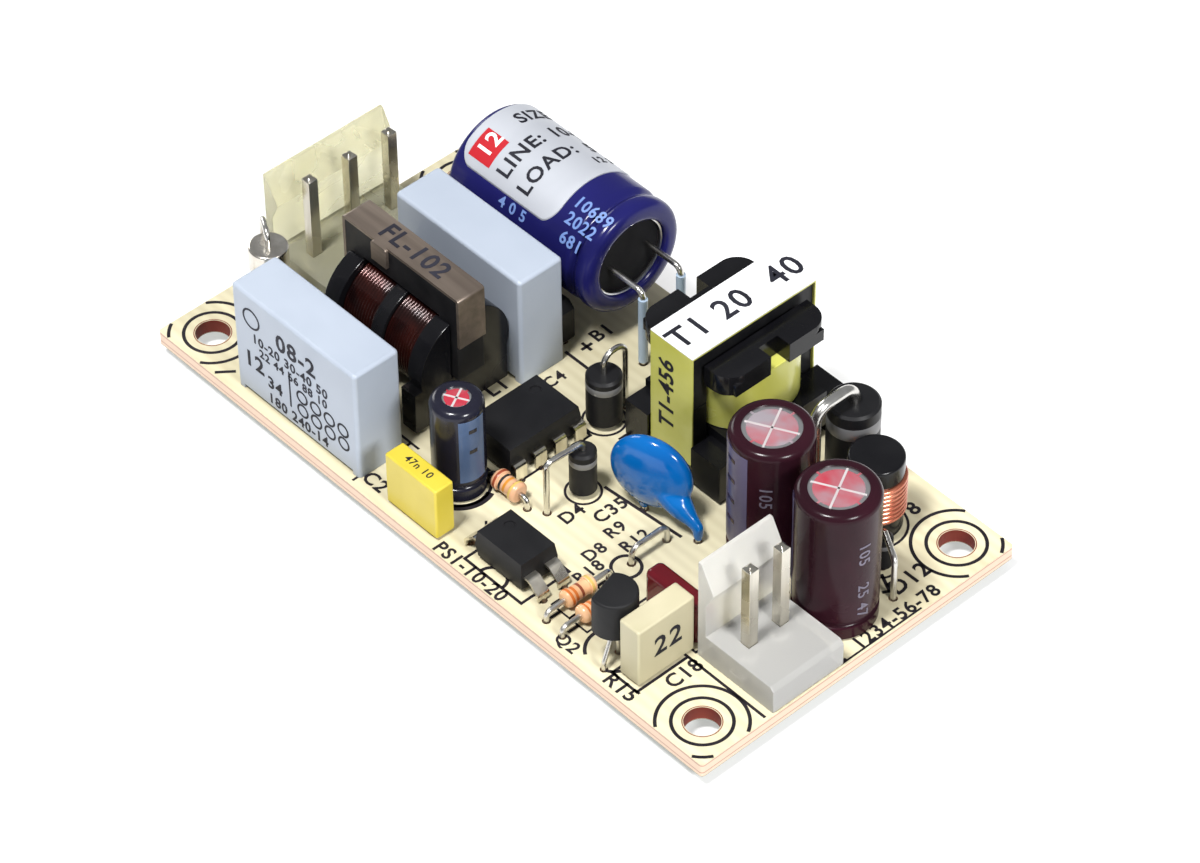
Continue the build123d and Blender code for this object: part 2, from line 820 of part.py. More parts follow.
def chip_pins(x, y, width, height, rows, span):
    """Bend the flat pins of both sides: out of the body, over the shoulder and into the board."""
    pin_z = seat_z + height / 2
    reach = width / 2 + flat_blade_h * flat_reach_share
    if span / 2 - reach < flat_bend:
        reach = span / 2
    with BuildPart() as pins:
        for side in (-1, 1):
            foot = side * span / 2
            corners = [(side * width / 2, pin_z), (side * reach, pin_z)]
            if reach < span / 2:
                corners.append((foot, board_t + flat_blade_h))
            for row in range(rows):
                pin_y = y + (row - (rows - 1) / 2) * chip_pitch
                shoulder_low = board_t + flat_blade_h * flat_shoulder_share
                for ribbon_w, low in ((flat_shoulder_w, shoulder_low), (flat_pin_w, -lead_tip)):
                    with BuildSketch(Plane((x, pin_y + ribbon_w / 2, 0), (1, 0, 0), (0, -1, 0))):
                        with BuildLine():
                            FilletPolyline(*corners, (foot, low), radius=flat_bend)
                        trace(line_width=flat_pin_t)
                    extrude(amount=ribbon_w)
                lead_places.append((x + foot, pin_y, math.hypot(flat_pin_w, flat_pin_t) / 2))
    return pins


keep(chip_body(chip_x, chip_y, chip_width, chip_length, chip_height), "controller_ic_body")
keep(chip_pins(chip_x, chip_y, chip_width, chip_height, chip_rows, chip_span), "controller_ic_pins")
keep(chip_body(opto_x, opto_y, opto_width, opto_length, opto_height), "optocoupler_body")
keep(chip_pins(opto_x, opto_y, opto_width, opto_height, opto_rows, opto_span), "optocoupler_pins")

# Film capacitors in boxes, two along X and one along Y
keep(
    block(yellow_x, yellow_y, seat_z, yellow_length, yellow_width, yellow_height - standoff, film_edge_r),
    "yellow_film_capacitor",
)
keep(
    block(beige_x, beige_y, seat_z, beige_width, beige_length, beige_height - standoff, film_edge_r),
    "beige_film_capacitor",
)
keep(
    block(maroon_x, maroon_y, seat_z, maroon_length, maroon_width, maroon_height - standoff, maroon_edge_r),
    "maroon_film_capacitor",
)

# Ceramic disc capacitor: a dipped lens whose coating runs down both leads
disc_z = board_t + disc_axis_h
disc_coat_end = board_t + disc_coat_end_h
disc_near = [(out * disc_r, up * disc_half_t) for out, up in disc_profile_shares]
disc_far = [(out, -up) for out, up in reversed(disc_near[:-1])]
disc_way = Vector(math.cos(math.radians(disc_turn)), math.sin(math.radians(disc_turn)), 0)
disc_plane = Plane(origin=(disc_x, disc_y, disc_z), x_dir=disc_way, z_dir=(0, 0, 1))
disc_root = disc_plane.origin + disc_way * disc_tail_root_share * disc_r
disc_root = (disc_root.X, disc_root.Y, disc_z - disc_tail_drop_share * disc_r)
disc_elbow = (disc_tail_x, disc_tail_y, board_t + disc_tail_h)
with BuildPart() as disc_capacitor_body:
    with BuildSketch(disc_plane):
        with BuildLine():
            Polyline((0, disc_half_t), *disc_near, *disc_far, (0, -disc_half_t), close=True)
        make_face()
    revolve(axis=Axis(disc_plane.origin, disc_plane.y_dir))
    tail_way = Vector(*disc_elbow) - Vector(*disc_root)
    with BuildSketch(Plane(origin=disc_root, z_dir=tail_way)):
        Circle(disc_tail_root_r)
    with BuildSketch(Plane(origin=Vector(*disc_root) + tail_way * disc_taper_share, z_dir=tail_way)):
        Circle(disc_coat_r)
    loft()
    with BuildLine() as tail_route:
        FilletPolyline(disc_root, disc_elbow, (*disc_elbow[:2], disc_coat_end), radius=disc_coat_bend)
    with BuildSketch(Plane(origin=disc_root, z_dir=tail_way)):
        Circle(disc_coat_r)
    sweep(path=tail_route.line)
    with BuildSketch(Plane.XY.offset(disc_coat_end)):
        with Locations((disc_stub_x, disc_stub_y)):
            Circle(disc_coat_r)
    extrude(amount=disc_axis_h / 2)
keep(disc_capacitor_body, "disc_capacitor_body")

with BuildPart() as small_capacitor_leads:
    for x, y, radius, height, pitch in radial_caps:
        for side in (-1, 1):
            straight_lead(x + side * pitch / 2, y, seat_z + can_bung_depth, can_lead_r)
    for side in (-1, 1):
        straight_lead(yellow_x + side * film_pitch / 2, yellow_y, seat_z, film_lead_r)
        straight_lead(beige_x, beige_y + side * film_pitch / 2, seat_z, film_lead_r)
        straight_lead(maroon_x + side * film_pitch / 2, maroon_y, seat_z, film_lead_r)
    for x, y in ((disc_tail_x, disc_tail_y), (disc_stub_x, disc_stub_y)):
        straight_lead(x, y, disc_coat_end, disc_lead_r)
keep(small_capacitor_leads, "small_capacitor_leads")

# Parts with a lead at each end that stand on one of them
def barrel(x, y, low, radius, length):
    """Stand a moulded barrel with chamfered ends."""
    with BuildPart() as body:
        with BuildSketch(Plane.XY.offset(low)):
            with Locations((x, y)):
                Circle(radius)
        extrude(amount=length)
        chamfer(body.edges().filter_by(GeomType.CIRCLE), diode_end_chamfer)
    return body


def loop_lead(x, y, top, rise, hole_x, hole_y, radius, bend):
    """Bend the top lead of a standing part over and down to its hole."""
    bent_lead([(x, y, top), (x, y, top + rise), (hole_x, hole_y, top + rise)], radius, bend)


small_diodes = [
    (
        diode_a_x, diode_a_y, diode_a_r, diode_a_length,
        diode_a_rise, diode_a_bend, diode_a_hole_dx, diode_a_hole_dy,
    ),
    (
        diode_b_x, diode_b_y, diode_b_r, diode_b_length,
        diode_b_rise, diode_b_bend, diode_b_hole_dx, diode_b_hole_dy,
    ),
    (
        diode_c_x, diode_c_y, diode_c_r, diode_c_length,
        diode_c_rise, diode_c_bend, diode_c_hole_dx, diode_c_hole_dy,
    ),
]
small_diode_bodies = gather([
    barrel(x, y, seat_z, radius, length) for x, y, radius, length, *_ in small_diodes
])
keep(small_diode_bodies, "small_diode_bodies")

with BuildPart() as small_diode_leads:
    for x, y, radius, length, rise, bend, hole_dx, hole_dy in small_diodes:
        straight_lead(x, y, seat_z, diode_lead_r)
        loop_lead(x, y, seat_z + length, rise, x + hole_dx, y + hole_dy, diode_lead_r, bend)
keep(small_diode_leads, "small_diode_leads")

keep(barrel(rectifier_x, rectifier_y, seat_z, rectifier_r, rectifier_length), "rectifier_diode_body")

with BuildPart() as rectifier_diode_leads:
    straight_lead(rectifier_x, rectifier_y, seat_z, rectifier_lead_r)
    loop_lead(
        rectifier_x, rectifier_y, seat_z + rectifier_length, rectifier_loop_rise,
        rectifier_x, rectifier_y + rectifier_hole_dy, rectifier_lead_r, rectifier_bend,
    )
keep(rectifier_diode_leads, "rectifier_diode_leads")


# Resistors
def resistor_body(middle, direction, radius, length):
    """Turn a resistor body: a slim waist between two bell ends."""
    bell = length * resistor_bell_share
    waist_r = radius * resistor_waist_share
    start = Plane(origin=middle, z_dir=direction)
    with BuildPart() as body:
        with BuildSketch(start.offset(-length / 2)):
            Circle(waist_r)
        extrude(amount=length)
        for step in (-length / 2, length / 2 - bell):
            with BuildSketch(start.offset(step)):
                Circle(radius)
            extrude(amount=bell)
        rims = body.edges().filter_by(GeomType.CIRCLE).group_by(SortBy.RADIUS)[-1]
        rims = rims.sort_by(Axis(middle, direction))
        fillet([rims[0], rims[-1]], bell / 2)
        fillet([rims[1], rims[-2]], (radius - waist_r) * top_fillet_share)
    return body


def flat_lead_pair(x, y, direction, radius, length, pitch):
    """Bend the two leads of a resistor that lies on the board."""
    axis_z = board_t + radius + fine_edge
    for side in (-1, 1):
        root = Vector(x, y, axis_z) + direction * (side * length / 2)
        corner = Vector(x, y, axis_z) + direction * (side * pitch / 2)
        bent_lead([tuple(root), tuple(corner)], resistor_lead_r, 2 * resistor_lead_r)


brown_resistor_body = resistor_body(
    (brown_resistor_x, brown_resistor_y, board_t + brown_resistor_r + fine_edge), (1, 0, 0),
    brown_resistor_r, brown_resistor_length,
)
keep(brown_resistor_body, "brown_resistor_body")

orange_resistor_bodies = gather([
    resistor_body(
        (x, y, board_t + orange_resistor_r + fine_edge), (0, 1, 0),
        orange_resistor_r, orange_resistor_length,
    )
    for x, y in zip(orange_resistor_x, orange_resistor_y)
])
keep(orange_resistor_bodies, "orange_resistor_bodies")

with BuildPart() as resistor_leads:
    flat_lead_pair(
        brown_resistor_x, brown_resistor_y, Vector(1, 0, 0),
        brown_resistor_r, brown_resistor_length, brown_resistor_pitch,
    )
    for x, y in zip(orange_resistor_x, orange_resistor_y):
        flat_lead_pair(
            x, y, Vector(0, 1, 0), orange_resistor_r, orange_resistor_length, orange_resistor_pitch,
        )
keep(resistor_leads, "resistor_leads")

jumper_start = jumper_y - jumper_pitch / 2
with BuildPart() as jumper_wire:
    with BuildLine() as jumper_route:
        FilletPolyline(
            (jumper_x, jumper_start, -lead_tip), (jumper_x, jumper_start, board_t + jumper_rise),
            (jumper_x, jumper_start + jumper_pitch, board_t + jumper_rise),
            (jumper_x, jumper_start + jumper_pitch, -lead_tip), radius=wire_bend,
        )
    with BuildSketch(Plane.XY.offset(-lead_tip)):
        with Locations((jumper_x, jumper_start)):
            Circle(jumper_r)
    sweep(path=jumper_route.line)
lead_places.append((jumper_x, jumper_start, jumper_r))
lead_places.append((jumper_x, jumper_start + jumper_pitch, jumper_r))
keep(jumper_wire, "jumper_wire")

# Drum choke: a ferrite reel with one winding between its flanges
drum_neck_h = drum_height - drum_top_h - drum_base_h
with BuildPart() as drum_core:
    for low, height, radius in (
        (seat_z, drum_base_h, drum_r),
        (seat_z + drum_base_h, drum_neck_h, drum_neck_r),
        (seat_z + drum_base_h + drum_neck_h, drum_top_h, drum_r),
    ):
        with BuildSketch(Plane.XY.offset(low)):
            with Locations((drum_x, drum_y)):
                Circle(radius)
        extrude(amount=height)
    fillet(drum_core.edges().filter_by(GeomType.CIRCLE).sort_by(Axis.Z)[-1], 2 * fine_edge)
keep(drum_core, "drum_core")

with BuildPart() as drum_winding:
    with BuildSketch(Plane.XY.offset(seat_z + drum_base_h)):
        with Locations((drum_x, drum_y)):
            Circle(drum_winding_r)
            Circle(drum_neck_r, mode=Mode.SUBTRACT)
    extrude(amount=drum_neck_h)
    fillet(drum_winding.edges().filter_by(GeomType.CIRCLE).group_by(SortBy.RADIUS)[-1], 3 * fine_edge)
keep(drum_winding, "drum_winding")

with BuildPart() as drum_pins:
    for side in (-1, 1):
        straight_lead(drum_x + side * drum_pitch / 2, drum_y, seat_z, drum_pin_r)
keep(drum_pins, "drum_pins")

# Transistor: a half round body held up on three legs that spread to their holes
transistor_low = board_t + transistor_lift
transistor_turn_rad = math.radians(transistor_turn)
transistor_plane = Plane(
    origin=(transistor_x, transistor_y, transistor_low),
    x_dir=(math.cos(transistor_turn_rad), math.sin(transistor_turn_rad), 0), z_dir=(0, 0, 1),
)
with BuildPart() as transistor_body:
    with BuildSketch(transistor_plane):
        Circle(transistor_r)
        with Locations((-transistor_flat, 0)):
            Rectangle(
                2 * transistor_r, 2 * transistor_r, align=(Align.MIN, Align.CENTER), mode=Mode.INTERSECT,
            )
    extrude(amount=transistor_height)
    chamfer(transistor_body.faces().sort_by(Axis.Z)[-1].edges(), fine_edge)
keep(transistor_body, "transistor_body")

with BuildPart() as transistor_leads:
    for step in (-1, 0, 1):
        root = transistor_plane.from_local_coords((transistor_leg_dx, step * transistor_leg_pitch, 0))
        knee = transistor_plane.from_local_coords(
            (transistor_leg_dx, step * transistor_leg_pitch, -transistor_leg_straight)
        )
        hole = transistor_plane.from_local_coords(
            (transistor_leg_dx, step * transistor_hole_pitch, 2 * transistor_leg_straight - transistor_lift)
        )
        if step == 0:
            straight_lead(root.X, root.Y, transistor_low, transistor_leg_r)
        else:
            bent_lead([tuple(root), tuple(knee), tuple(hole)], transistor_leg_r, transistor_leg_r)
keep(transistor_leads, "transistor_leads")

# Transformer: two E cores standing upright, wound bobbin between them
ecore_low = board_t + ecore_bottom_h
ecore_mid_z = ecore_low + ecore_height / 2
ecore_side = Plane(
    origin=(transformer_x - ecore_width / 2, transformer_y, 0), x_dir=(0, 1, 0), z_dir=(1, 0, 0)
)
with BuildPart() as transformer_core:
    with BuildSketch(ecore_side):
        for side in (-1, 1):
            half_mid = ecore_mid_z + side * (ecore_height / 4 + ecore_gap / 4)
            with Locations((0, half_mid)):
                Rectangle(ecore_length, ecore_height / 2 - ecore_gap / 2)
        for side in (-1, 1):
            window_outer = ecore_length / 2 - ecore_outer_leg
            window_mid = (window_outer + ecore_centre_leg / 2) / 2
            with Locations((side * window_mid, ecore_mid_z)):
                Rectangle(
                    window_outer - ecore_centre_leg / 2, ecore_height - 2 * ecore_back, mode=Mode.SUBTRACT,
                )
    extrude(amount=ecore_width)
keep(transformer_core, "transformer_core")

window_low = ecore_low + ecore_back
window_height = ecore_height - 2 * ecore_back
window_length = ecore_length - 2 * ecore_outer_leg - 2 * bobbin_fit
bobbin_centre = Plane(origin=(transformer_x, transformer_y, 0))
top_flange_low = window_low + window_height - bobbin_fit - bobbin_flange_t
flange_low = window_low + bobbin_fit
tube_length = ecore_centre_leg + 2 * bobbin_fit + 2 * bobbin_tube_t
tube_width = ecore_width + 2 * bobbin_fit + 2 * bobbin_tube_t
side_low_x = core_tape_width / 2 + bobbin_fit
bobbin_width = bobbin_left + bobbin_right
bobbin_middle = (bobbin_right - bobbin_left) / 2
bobbin_rails = [(-side_low_x, -bobbin_left), (side_low_x, bobbin_right)]
with BuildPart() as transformer_bobbin:
    with BuildSketch(bobbin_centre.offset(flange_low)):
        with Locations((bobbin_middle, 0)):
            Rectangle(bobbin_width, window_length)
    extrude(amount=bobbin_flange_t)
    with BuildSketch(bobbin_centre.offset(flange_low)):
        Rectangle(tube_width, tube_length)
    extrude(amount=top_flange_low + bobbin_flange_t - flange_low)
    for inner_x, outer_x in bobbin_rails:
        with BuildSketch(bobbin_centre.offset(seat_z)):
            with Locations(((inner_x + outer_x) / 2, 0)):
                Rectangle(abs(outer_x - inner_x), bobbin_length)
        extrude(amount=bobbin_rail_h - standoff)
        with BuildSketch(bobbin_centre.offset(seat_z)):
            with Locations(((inner_x + outer_x) / 2, 0)):
                with GridLocations(0, transformer_pin_pitch, 1, transformer_pin_rows - 1):
                    Rectangle(abs(outer_x - inner_x), bobbin_rail_slot)
        extrude(amount=bobbin_rail_slot, mode=Mode.SUBTRACT)
    with BuildSketch(bobbin_centre.offset(top_flange_low)):
        Rectangle(bobbin_top_width, window_length)
    extrude(amount=bobbin_flange_t)
    with BuildSketch(bobbin_centre.offset(top_flange_low)):
        RectangleRounded(bobbin_top_width, bobbin_top_length, bobbin_top_corner_r)
        Rectangle(2 * side_low_x, bobbin_top_length, mode=Mode.SUBTRACT)
        for side in (-1, 1):
            with Locations((side * bobbin_top_width / 2, 0)):
                Rectangle(2 * bobbin_notch_depth, bobbin_notch_w, mode=Mode.SUBTRACT)
    extrude(amount=bobbin_flange_t + bobbin_lobe_rise)
    for side in (-1, 1):
        with BuildSketch(bobbin_centre.offset(top_flange_low)):
            with Locations((side * bobbin_top_width / 2, 0)):
                Rectangle(2 * bobbin_notch_depth, bobbin_notch_w)
        extrude(amount=bobbin_flange_t, mode=Mode.SUBTRACT)
    with BuildSketch(bobbin_centre.offset(flange_low)):
        Rectangle(ecore_width + 2 * bobbin_fit, ecore_centre_leg + 2 * bobbin_fit)
    extrude(amount=window_height, mode=Mode.SUBTRACT)
keep(transformer_bobbin, "transformer_bobbin")

winding_low = flange_low + bobbin_flange_t
winding_height = top_flange_low - winding_low
with BuildPart() as transformer_winding:
    with BuildSketch(bobbin_centre.offset(winding_low)):
        RectangleRounded(winding_width, winding_length, winding_corner_r)
        Rectangle(tube_width, tube_length, mode=Mode.SUBTRACT)
    extrude(amount=winding_height)
keep(transformer_winding, "transformer_winding")

with BuildPart() as transformer_core_tape:
    tape_side = Plane(
        origin=(transformer_x - core_tape_width / 2, transformer_y, 0), x_dir=(0, 1, 0), z_dir=(1, 0, 0)
    )
    with BuildSketch(tape_side):
        with Locations((0, ecore_mid_z)):
            Rectangle(ecore_length + 2 * core_tape_t, ecore_height + 2 * core_tape_t)
            Rectangle(ecore_length, ecore_height, mode=Mode.SUBTRACT)
    extrude(amount=core_tape_width)
keep(transformer_core_tape, "transformer_core_tape")

with BuildPart() as transformer_label:
    with BuildSketch(bobbin_centre.offset(ecore_low + ecore_height + core_tape_t)):
        Rectangle(core_tape_width, ecore_length + 2 * core_tape_t)
    extrude(amount=transformer_label_t)
keep(transformer_label, "transformer_label")

transformer_pin_left = transformer_x - bobbin_left + transformer_pin_inset
transformer_pin_right = transformer_x + bobbin_right - transformer_pin_inset
with BuildPart() as transformer_pins:
    for pin_x in (transformer_pin_left, transformer_pin_right):
        for row in range(transformer_pin_rows):
            pin_y = transformer_y + (row - (transformer_pin_rows - 1) / 2) * transformer_pin_pitch
            straight_lead(pin_x, pin_y, seat_z, transformer_pin_r)
keep(transformer_pins, "transformer_pins")

# The board, drilled for the bolts and for every lead
lead_sizes = sorted({place[2] for place in lead_places})
with BuildPart() as circuit_board:
    with BuildSketch():
        RectangleRounded(board_length, board_width, board_corner_r)
        with GridLocations(bolt_spacing_x, bolt_spacing_y, 2, 2):
            Circle(bolt_hole_r, mode=Mode.SUBTRACT)
        for half_width in lead_sizes:
            with Locations(*[place[:2] for place in lead_places if place[2] == half_width]):
                Circle(half_width + hole_clearance, mode=Mode.SUBTRACT)
    extrude(amount=board_t)
keep(circuit_board, "circuit_board")

# Solder joints: a cone on the underside round each lead, flush with its clipped tip
with BuildPart() as solder_joints:
    for half_width in lead_sizes:
        places = [(x, y, -lead_tip / 2) for x, y, width in lead_places if width == half_width]
        with Locations(*places):
            Cone(half_width + solder_lip, half_width + solder_width, lead_tip)
    for half_width in lead_sizes:
        places = [(x, y, -lead_tip / 2) for x, y, width in lead_places if width == half_width]
        with Locations(*places):
            Cylinder(half_width, lead_tip, mode=Mode.SUBTRACT)
keep(solder_joints, "solder_joints")

os.makedirs("parts", exist_ok=True)
for name, piece in pieces.items():
    export_step(piece.part, f"parts/{name}.step")
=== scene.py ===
"""Visual model of an open frame power supply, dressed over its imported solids.

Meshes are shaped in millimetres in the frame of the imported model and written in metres.
"""

from __future__ import annotations

import json
import logging
import math
from dataclasses import dataclass, field
from enum import Enum
from typing import Callable, ClassVar, Iterable, Sequence

import bmesh
import bpy
from mathutils import Matrix, Vector

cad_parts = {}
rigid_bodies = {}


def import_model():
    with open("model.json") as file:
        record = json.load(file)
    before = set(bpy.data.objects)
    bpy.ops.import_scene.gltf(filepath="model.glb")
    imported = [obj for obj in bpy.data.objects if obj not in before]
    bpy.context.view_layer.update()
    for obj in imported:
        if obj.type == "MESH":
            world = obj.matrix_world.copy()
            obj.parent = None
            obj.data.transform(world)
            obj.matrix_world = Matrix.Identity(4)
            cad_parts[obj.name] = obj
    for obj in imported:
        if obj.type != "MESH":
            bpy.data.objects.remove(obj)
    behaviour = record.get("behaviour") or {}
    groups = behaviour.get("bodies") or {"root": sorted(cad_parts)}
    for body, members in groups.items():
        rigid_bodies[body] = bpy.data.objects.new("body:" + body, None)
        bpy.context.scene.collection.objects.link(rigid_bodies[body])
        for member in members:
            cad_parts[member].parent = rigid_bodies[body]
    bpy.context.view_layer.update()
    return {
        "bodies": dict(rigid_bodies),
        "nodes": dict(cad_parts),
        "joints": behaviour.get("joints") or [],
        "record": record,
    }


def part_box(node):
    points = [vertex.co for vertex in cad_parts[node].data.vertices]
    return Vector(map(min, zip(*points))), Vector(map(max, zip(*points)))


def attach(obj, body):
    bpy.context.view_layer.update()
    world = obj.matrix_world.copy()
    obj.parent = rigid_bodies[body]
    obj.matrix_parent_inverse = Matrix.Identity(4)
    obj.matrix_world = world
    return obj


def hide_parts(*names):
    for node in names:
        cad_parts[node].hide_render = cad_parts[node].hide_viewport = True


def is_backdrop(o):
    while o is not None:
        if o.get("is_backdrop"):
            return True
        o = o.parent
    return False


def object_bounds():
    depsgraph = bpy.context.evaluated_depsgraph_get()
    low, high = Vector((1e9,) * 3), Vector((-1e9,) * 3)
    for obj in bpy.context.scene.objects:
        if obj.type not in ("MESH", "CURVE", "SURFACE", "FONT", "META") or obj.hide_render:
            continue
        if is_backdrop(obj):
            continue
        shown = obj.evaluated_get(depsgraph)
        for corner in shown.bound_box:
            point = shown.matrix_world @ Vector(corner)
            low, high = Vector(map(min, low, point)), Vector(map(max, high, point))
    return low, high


LOG = logging.getLogger("power_supply")
BMesh = bmesh.types.BMesh
Socket = bpy.types.NodeSocket
Point = Sequence[float]
Color = tuple[float, float, float]
Bend = Callable[[float, float, float], Vector]

MM = 0.001
BOARD_TOP = 1.6
SEAT = 2.0
INK = 0.03
# Points closer than this, in millimetres, are one.
WELD = 0.001
# How much bolder most of the printing is, as a share of its height.
BOLD = 0.028
# The size of the font over the height of its capitals, and the room given to each character.
CAPITAL_RATIO = 1.38
SPACING = 1.12
UP = (0, 0, 1)


class Face(Enum):
    """How lettering lies: its reading direction and the way its tops point."""

    TOP_ALONG_X = ((1, 0, 0), (0, 1, 0))
    TOP_ALONG_Y = ((0, 1, 0), (-1, 0, 0))
    FRONT = ((1, 0, 0), (0, 0, 1))
    RIGHT = ((0, 1, 0), (0, 0, 1))
    UPWARDS = ((0, 0, 1), (-1, 0, 0))

    def matrix(self, origin: Point) -> Matrix:
        """Give the transform that lays flat work on this face.

        Args:
            origin: Where the work's own origin goes, in millimetres.

        Returns:
            The placing matrix.
        """
        right, up = (Vector(way) for way in self.value)
        turn = Matrix((right, up, right.cross(up))).transposed()
        return Matrix.Translation(Vector(origin)) @ turn.to_4x4()


# Shader helpers


@dataclass
class Tree:
    """A short hand for adding and joining shader nodes in one node tree."""

    nodes: bpy.types.Nodes
    links: bpy.types.NodeLinks

    def add(self, kind: str, **settings: object) -> bpy.types.Node:
        """Add one node.

        Args:
            kind: The node's Blender type without its ShaderNode prefix.
            settings: Properties of the node, or its inputs where a name starts with a capital.

        Returns:
            The new node.
        """
        node = self.nodes.new(f"ShaderNode{kind}")
        for name, value in settings.items():
            if name[0].isupper():
                self.join(value, node.inputs[name.replace("_", " ")])
            else:
                setattr(node, name, value)
        return node

    def join(self, source: object, target: Socket) -> None:
        """Link two sockets, or set the target where the source is a plain value.

        Args:
            source: A socket or a value.
            target: The socket that takes it.
        """
        if isinstance(source, Socket):
            self.links.new(source, target)
        else:
            target.default_value = source

    def math(self, operation: str, first: object, second: object = 0.0) -> Socket:
        """Add a math node.

        Args:
            operation: Blender's name of the operation.
            first: A socket or a number.
            second: A socket or a number.

        Returns:
            The value socket.
        """
        node = self.add("Math", operation=operation)
        self.join(first, node.inputs[0])
        self.join(second, node.inputs[1])
        return node.outputs[0]

    def blend(self, share: Socket, first: object, second: object) -> Socket:
        """Mix two colours by a share.

        Args:
            share: The mask socket.
            first: The colour or socket at 0.
            second: The colour or socket at 1.

        Returns:
            The colour socket.
        """
        node = self.add("Mix", data_type="RGBA")
        self.join(share, node.inputs[0])
        # The colour sockets of this node come after those for numbers and vectors.
        for paint, target in ((first, node.inputs[6]), (second, node.inputs[7])):
            self.join(paint if isinstance(paint, Socket) else (*paint, 1.0), target)
        return node.outputs[2]

    def spread(self, value: Socket, low: float, high: float, start: float, end: float) -> Socket:
        """Map a value from one range to another, clamped.

        Args:
            value: The socket to map.
            low: Start of the range it comes in.
            high: End of the range it comes in.
            start: Start of the range that goes out.
            end: End of the range that goes out.

        Returns:
            The mapped value socket.
        """
        node = self.add("MapRange", Value=value, From_Min=low, From_Max=high, To_Min=start, To_Max=end)
        return node.outputs["Result"]


@dataclass
class GroupShop:
    """Builds each shared effect once, as a shader node group."""

    made: dict[str, bpy.types.NodeTree] = field(default_factory=dict)

    def start(self, name: str, inputs: dict[str, str], outputs: Sequence[str]) -> tuple:
        """Open a new group with its sockets.

        Args:
            name: The group's name.
            inputs: Socket name to socket type.
            outputs: Names of the value sockets that go out.

        Returns:
            The tree helper, the input node's sockets and the output node's sockets.
        """
        group = bpy.data.node_groups.new(name, "ShaderNodeTree")
        for socket, kind in inputs.items():
            group.interface.new_socket(socket, in_out="INPUT", socket_type=f"NodeSocket{kind}")
        for socket in outputs:
            group.interface.new_socket(socket, in_out="OUTPUT", socket_type="NodeSocketFloat")
        self.made[name] = group
        tree = Tree(group.nodes, group.links)
        entry, leave = group.nodes.new("NodeGroupInput"), group.nodes.new("NodeGroupOutput")
        return tree, entry.outputs, leave.inputs

    def grain(self) -> bpy.types.NodeTree:
        """Fine moulded or fibrous grain: a height for bump and a slow tone for colour."""
        if "surface_grain" in self.made:
            return self.made["surface_grain"]
        inputs = {"Vector": "Vector", "Stretch": "Vector", "Scale": "Float", "Tone Scale": "Float"}
        tree, entry, leave = self.start("surface_grain", inputs, ("Height", "Tone"))
        stretch = tree.add("VectorMath", operation="MULTIPLY")
        tree.join(entry["Vector"], stretch.inputs[0])
        tree.join(entry["Stretch"], stretch.inputs[1])
        where = stretch.outputs[0]
        fine = tree.add("TexNoise", Vector=where, Scale=entry["Scale"], Detail=5.0, Roughness=0.62)
        slow = tree.add("TexNoise", Vector=where, Scale=entry["Tone Scale"], Detail=3.0, Roughness=0.55,
                        Distortion=0.4)
        tree.join(fine.outputs[0], leave["Height"])
        tree.join(slow.outputs[0], leave["Tone"])
        return self.made["surface_grain"]

    def smudges(self) -> bpy.types.NodeTree:
        """Broad marks of handling, as a mask."""
        if "handling_smudges" in self.made:
            return self.made["handling_smudges"]
        inputs = {"Vector": "Vector", "Scale": "Float"}
        tree, entry, leave = self.start("handling_smudges", inputs, ("Smudges",))
        marks = tree.add("TexNoise", Vector=entry["Vector"], Scale=entry["Scale"], Detail=4.0, Distortion=1.2)
        tree.join(tree.spread(marks.outputs[0], 0.5, 0.72, 0.0, 1.0), leave["Smudges"])
        return self.made["handling_smudges"]


GROUPS = GroupShop()
MATERIALS: dict[str, bpy.types.Material] = {}


@dataclass(frozen=True)
class Finish:
    """One surface finish, with its colour, gloss, grain and handling marks."""

    name: str
    color: Color
    second: Color
    roughness: float
    metallic: float = 0.0
    coat: float = 0.0
    specular: float = 0.5
    grain: float = 900.0
    tone: float = 120.0
    bump: float = 0.08
    stretch: tuple[float, float, float] = (1.0, 1.0, 1.0)
    smudge: float = 0.08
    transmission: float = 0.0
    glow: float = 0.0
    smudge_scale: ClassVar[float] = 90.0
    bump_depth: ClassVar[float] = 0.0001
    coat_roughness: ClassVar[float] = 0.12
    clear_index: ClassVar[float] = 1.45

    def extra(self, tree: Tree, where: Socket, color: Socket) -> Socket:
        """Let a special finish paint over the plain colour; the plain one leaves it."""
        return color

    def material(self) -> bpy.types.Material:
        """Build the material, or give it again once it is built.

        Returns:
            The material.
        """
        if self.name in MATERIALS:
            return MATERIALS[self.name]
        material = bpy.data.materials.new(f"finish_{self.name}")
        MATERIALS[self.name] = material
        material.use_nodes = True
        tree = Tree(material.node_tree.nodes, material.node_tree.links)
        where = tree.add("TexCoord").outputs["Object"]
        grain = tree.add("Group", node_tree=GROUPS.grain(), Vector=where, Scale=self.grain,
                         Tone_Scale=self.tone, Stretch=self.stretch)
        marks = tree.add("Group", node_tree=GROUPS.smudges(), Vector=where, Scale=self.smudge_scale)
        bump = tree.add("Bump", Strength=self.bump, Distance=self.bump_depth, Height=grain.outputs["Height"])
        tone = tree.spread(grain.outputs["Tone"], 0.35, 0.65, 0.0, 1.0)
        color = self.extra(tree, where, tree.blend(tone, self.color, self.second))
        smudged = tree.math("MULTIPLY", marks.outputs["Smudges"], self.smudge)
        look = {
            "Base Color": color, "Roughness": tree.math("ADD", smudged, self.roughness),
            "Normal": bump.outputs[0], "Metallic": self.metallic, "Coat Weight": self.coat,
            "Coat Roughness": self.coat_roughness, "Specular IOR Level": self.specular,
        }
        if self.glow:
            look |= {"Emission Color": color, "Emission Strength": self.glow}
        if self.transmission:
            look |= {"Transmission Weight": self.transmission, "IOR": self.clear_index}
        for socket, value in look.items():
            tree.join(value, tree.nodes["Principled BSDF"].inputs[socket])
        return material


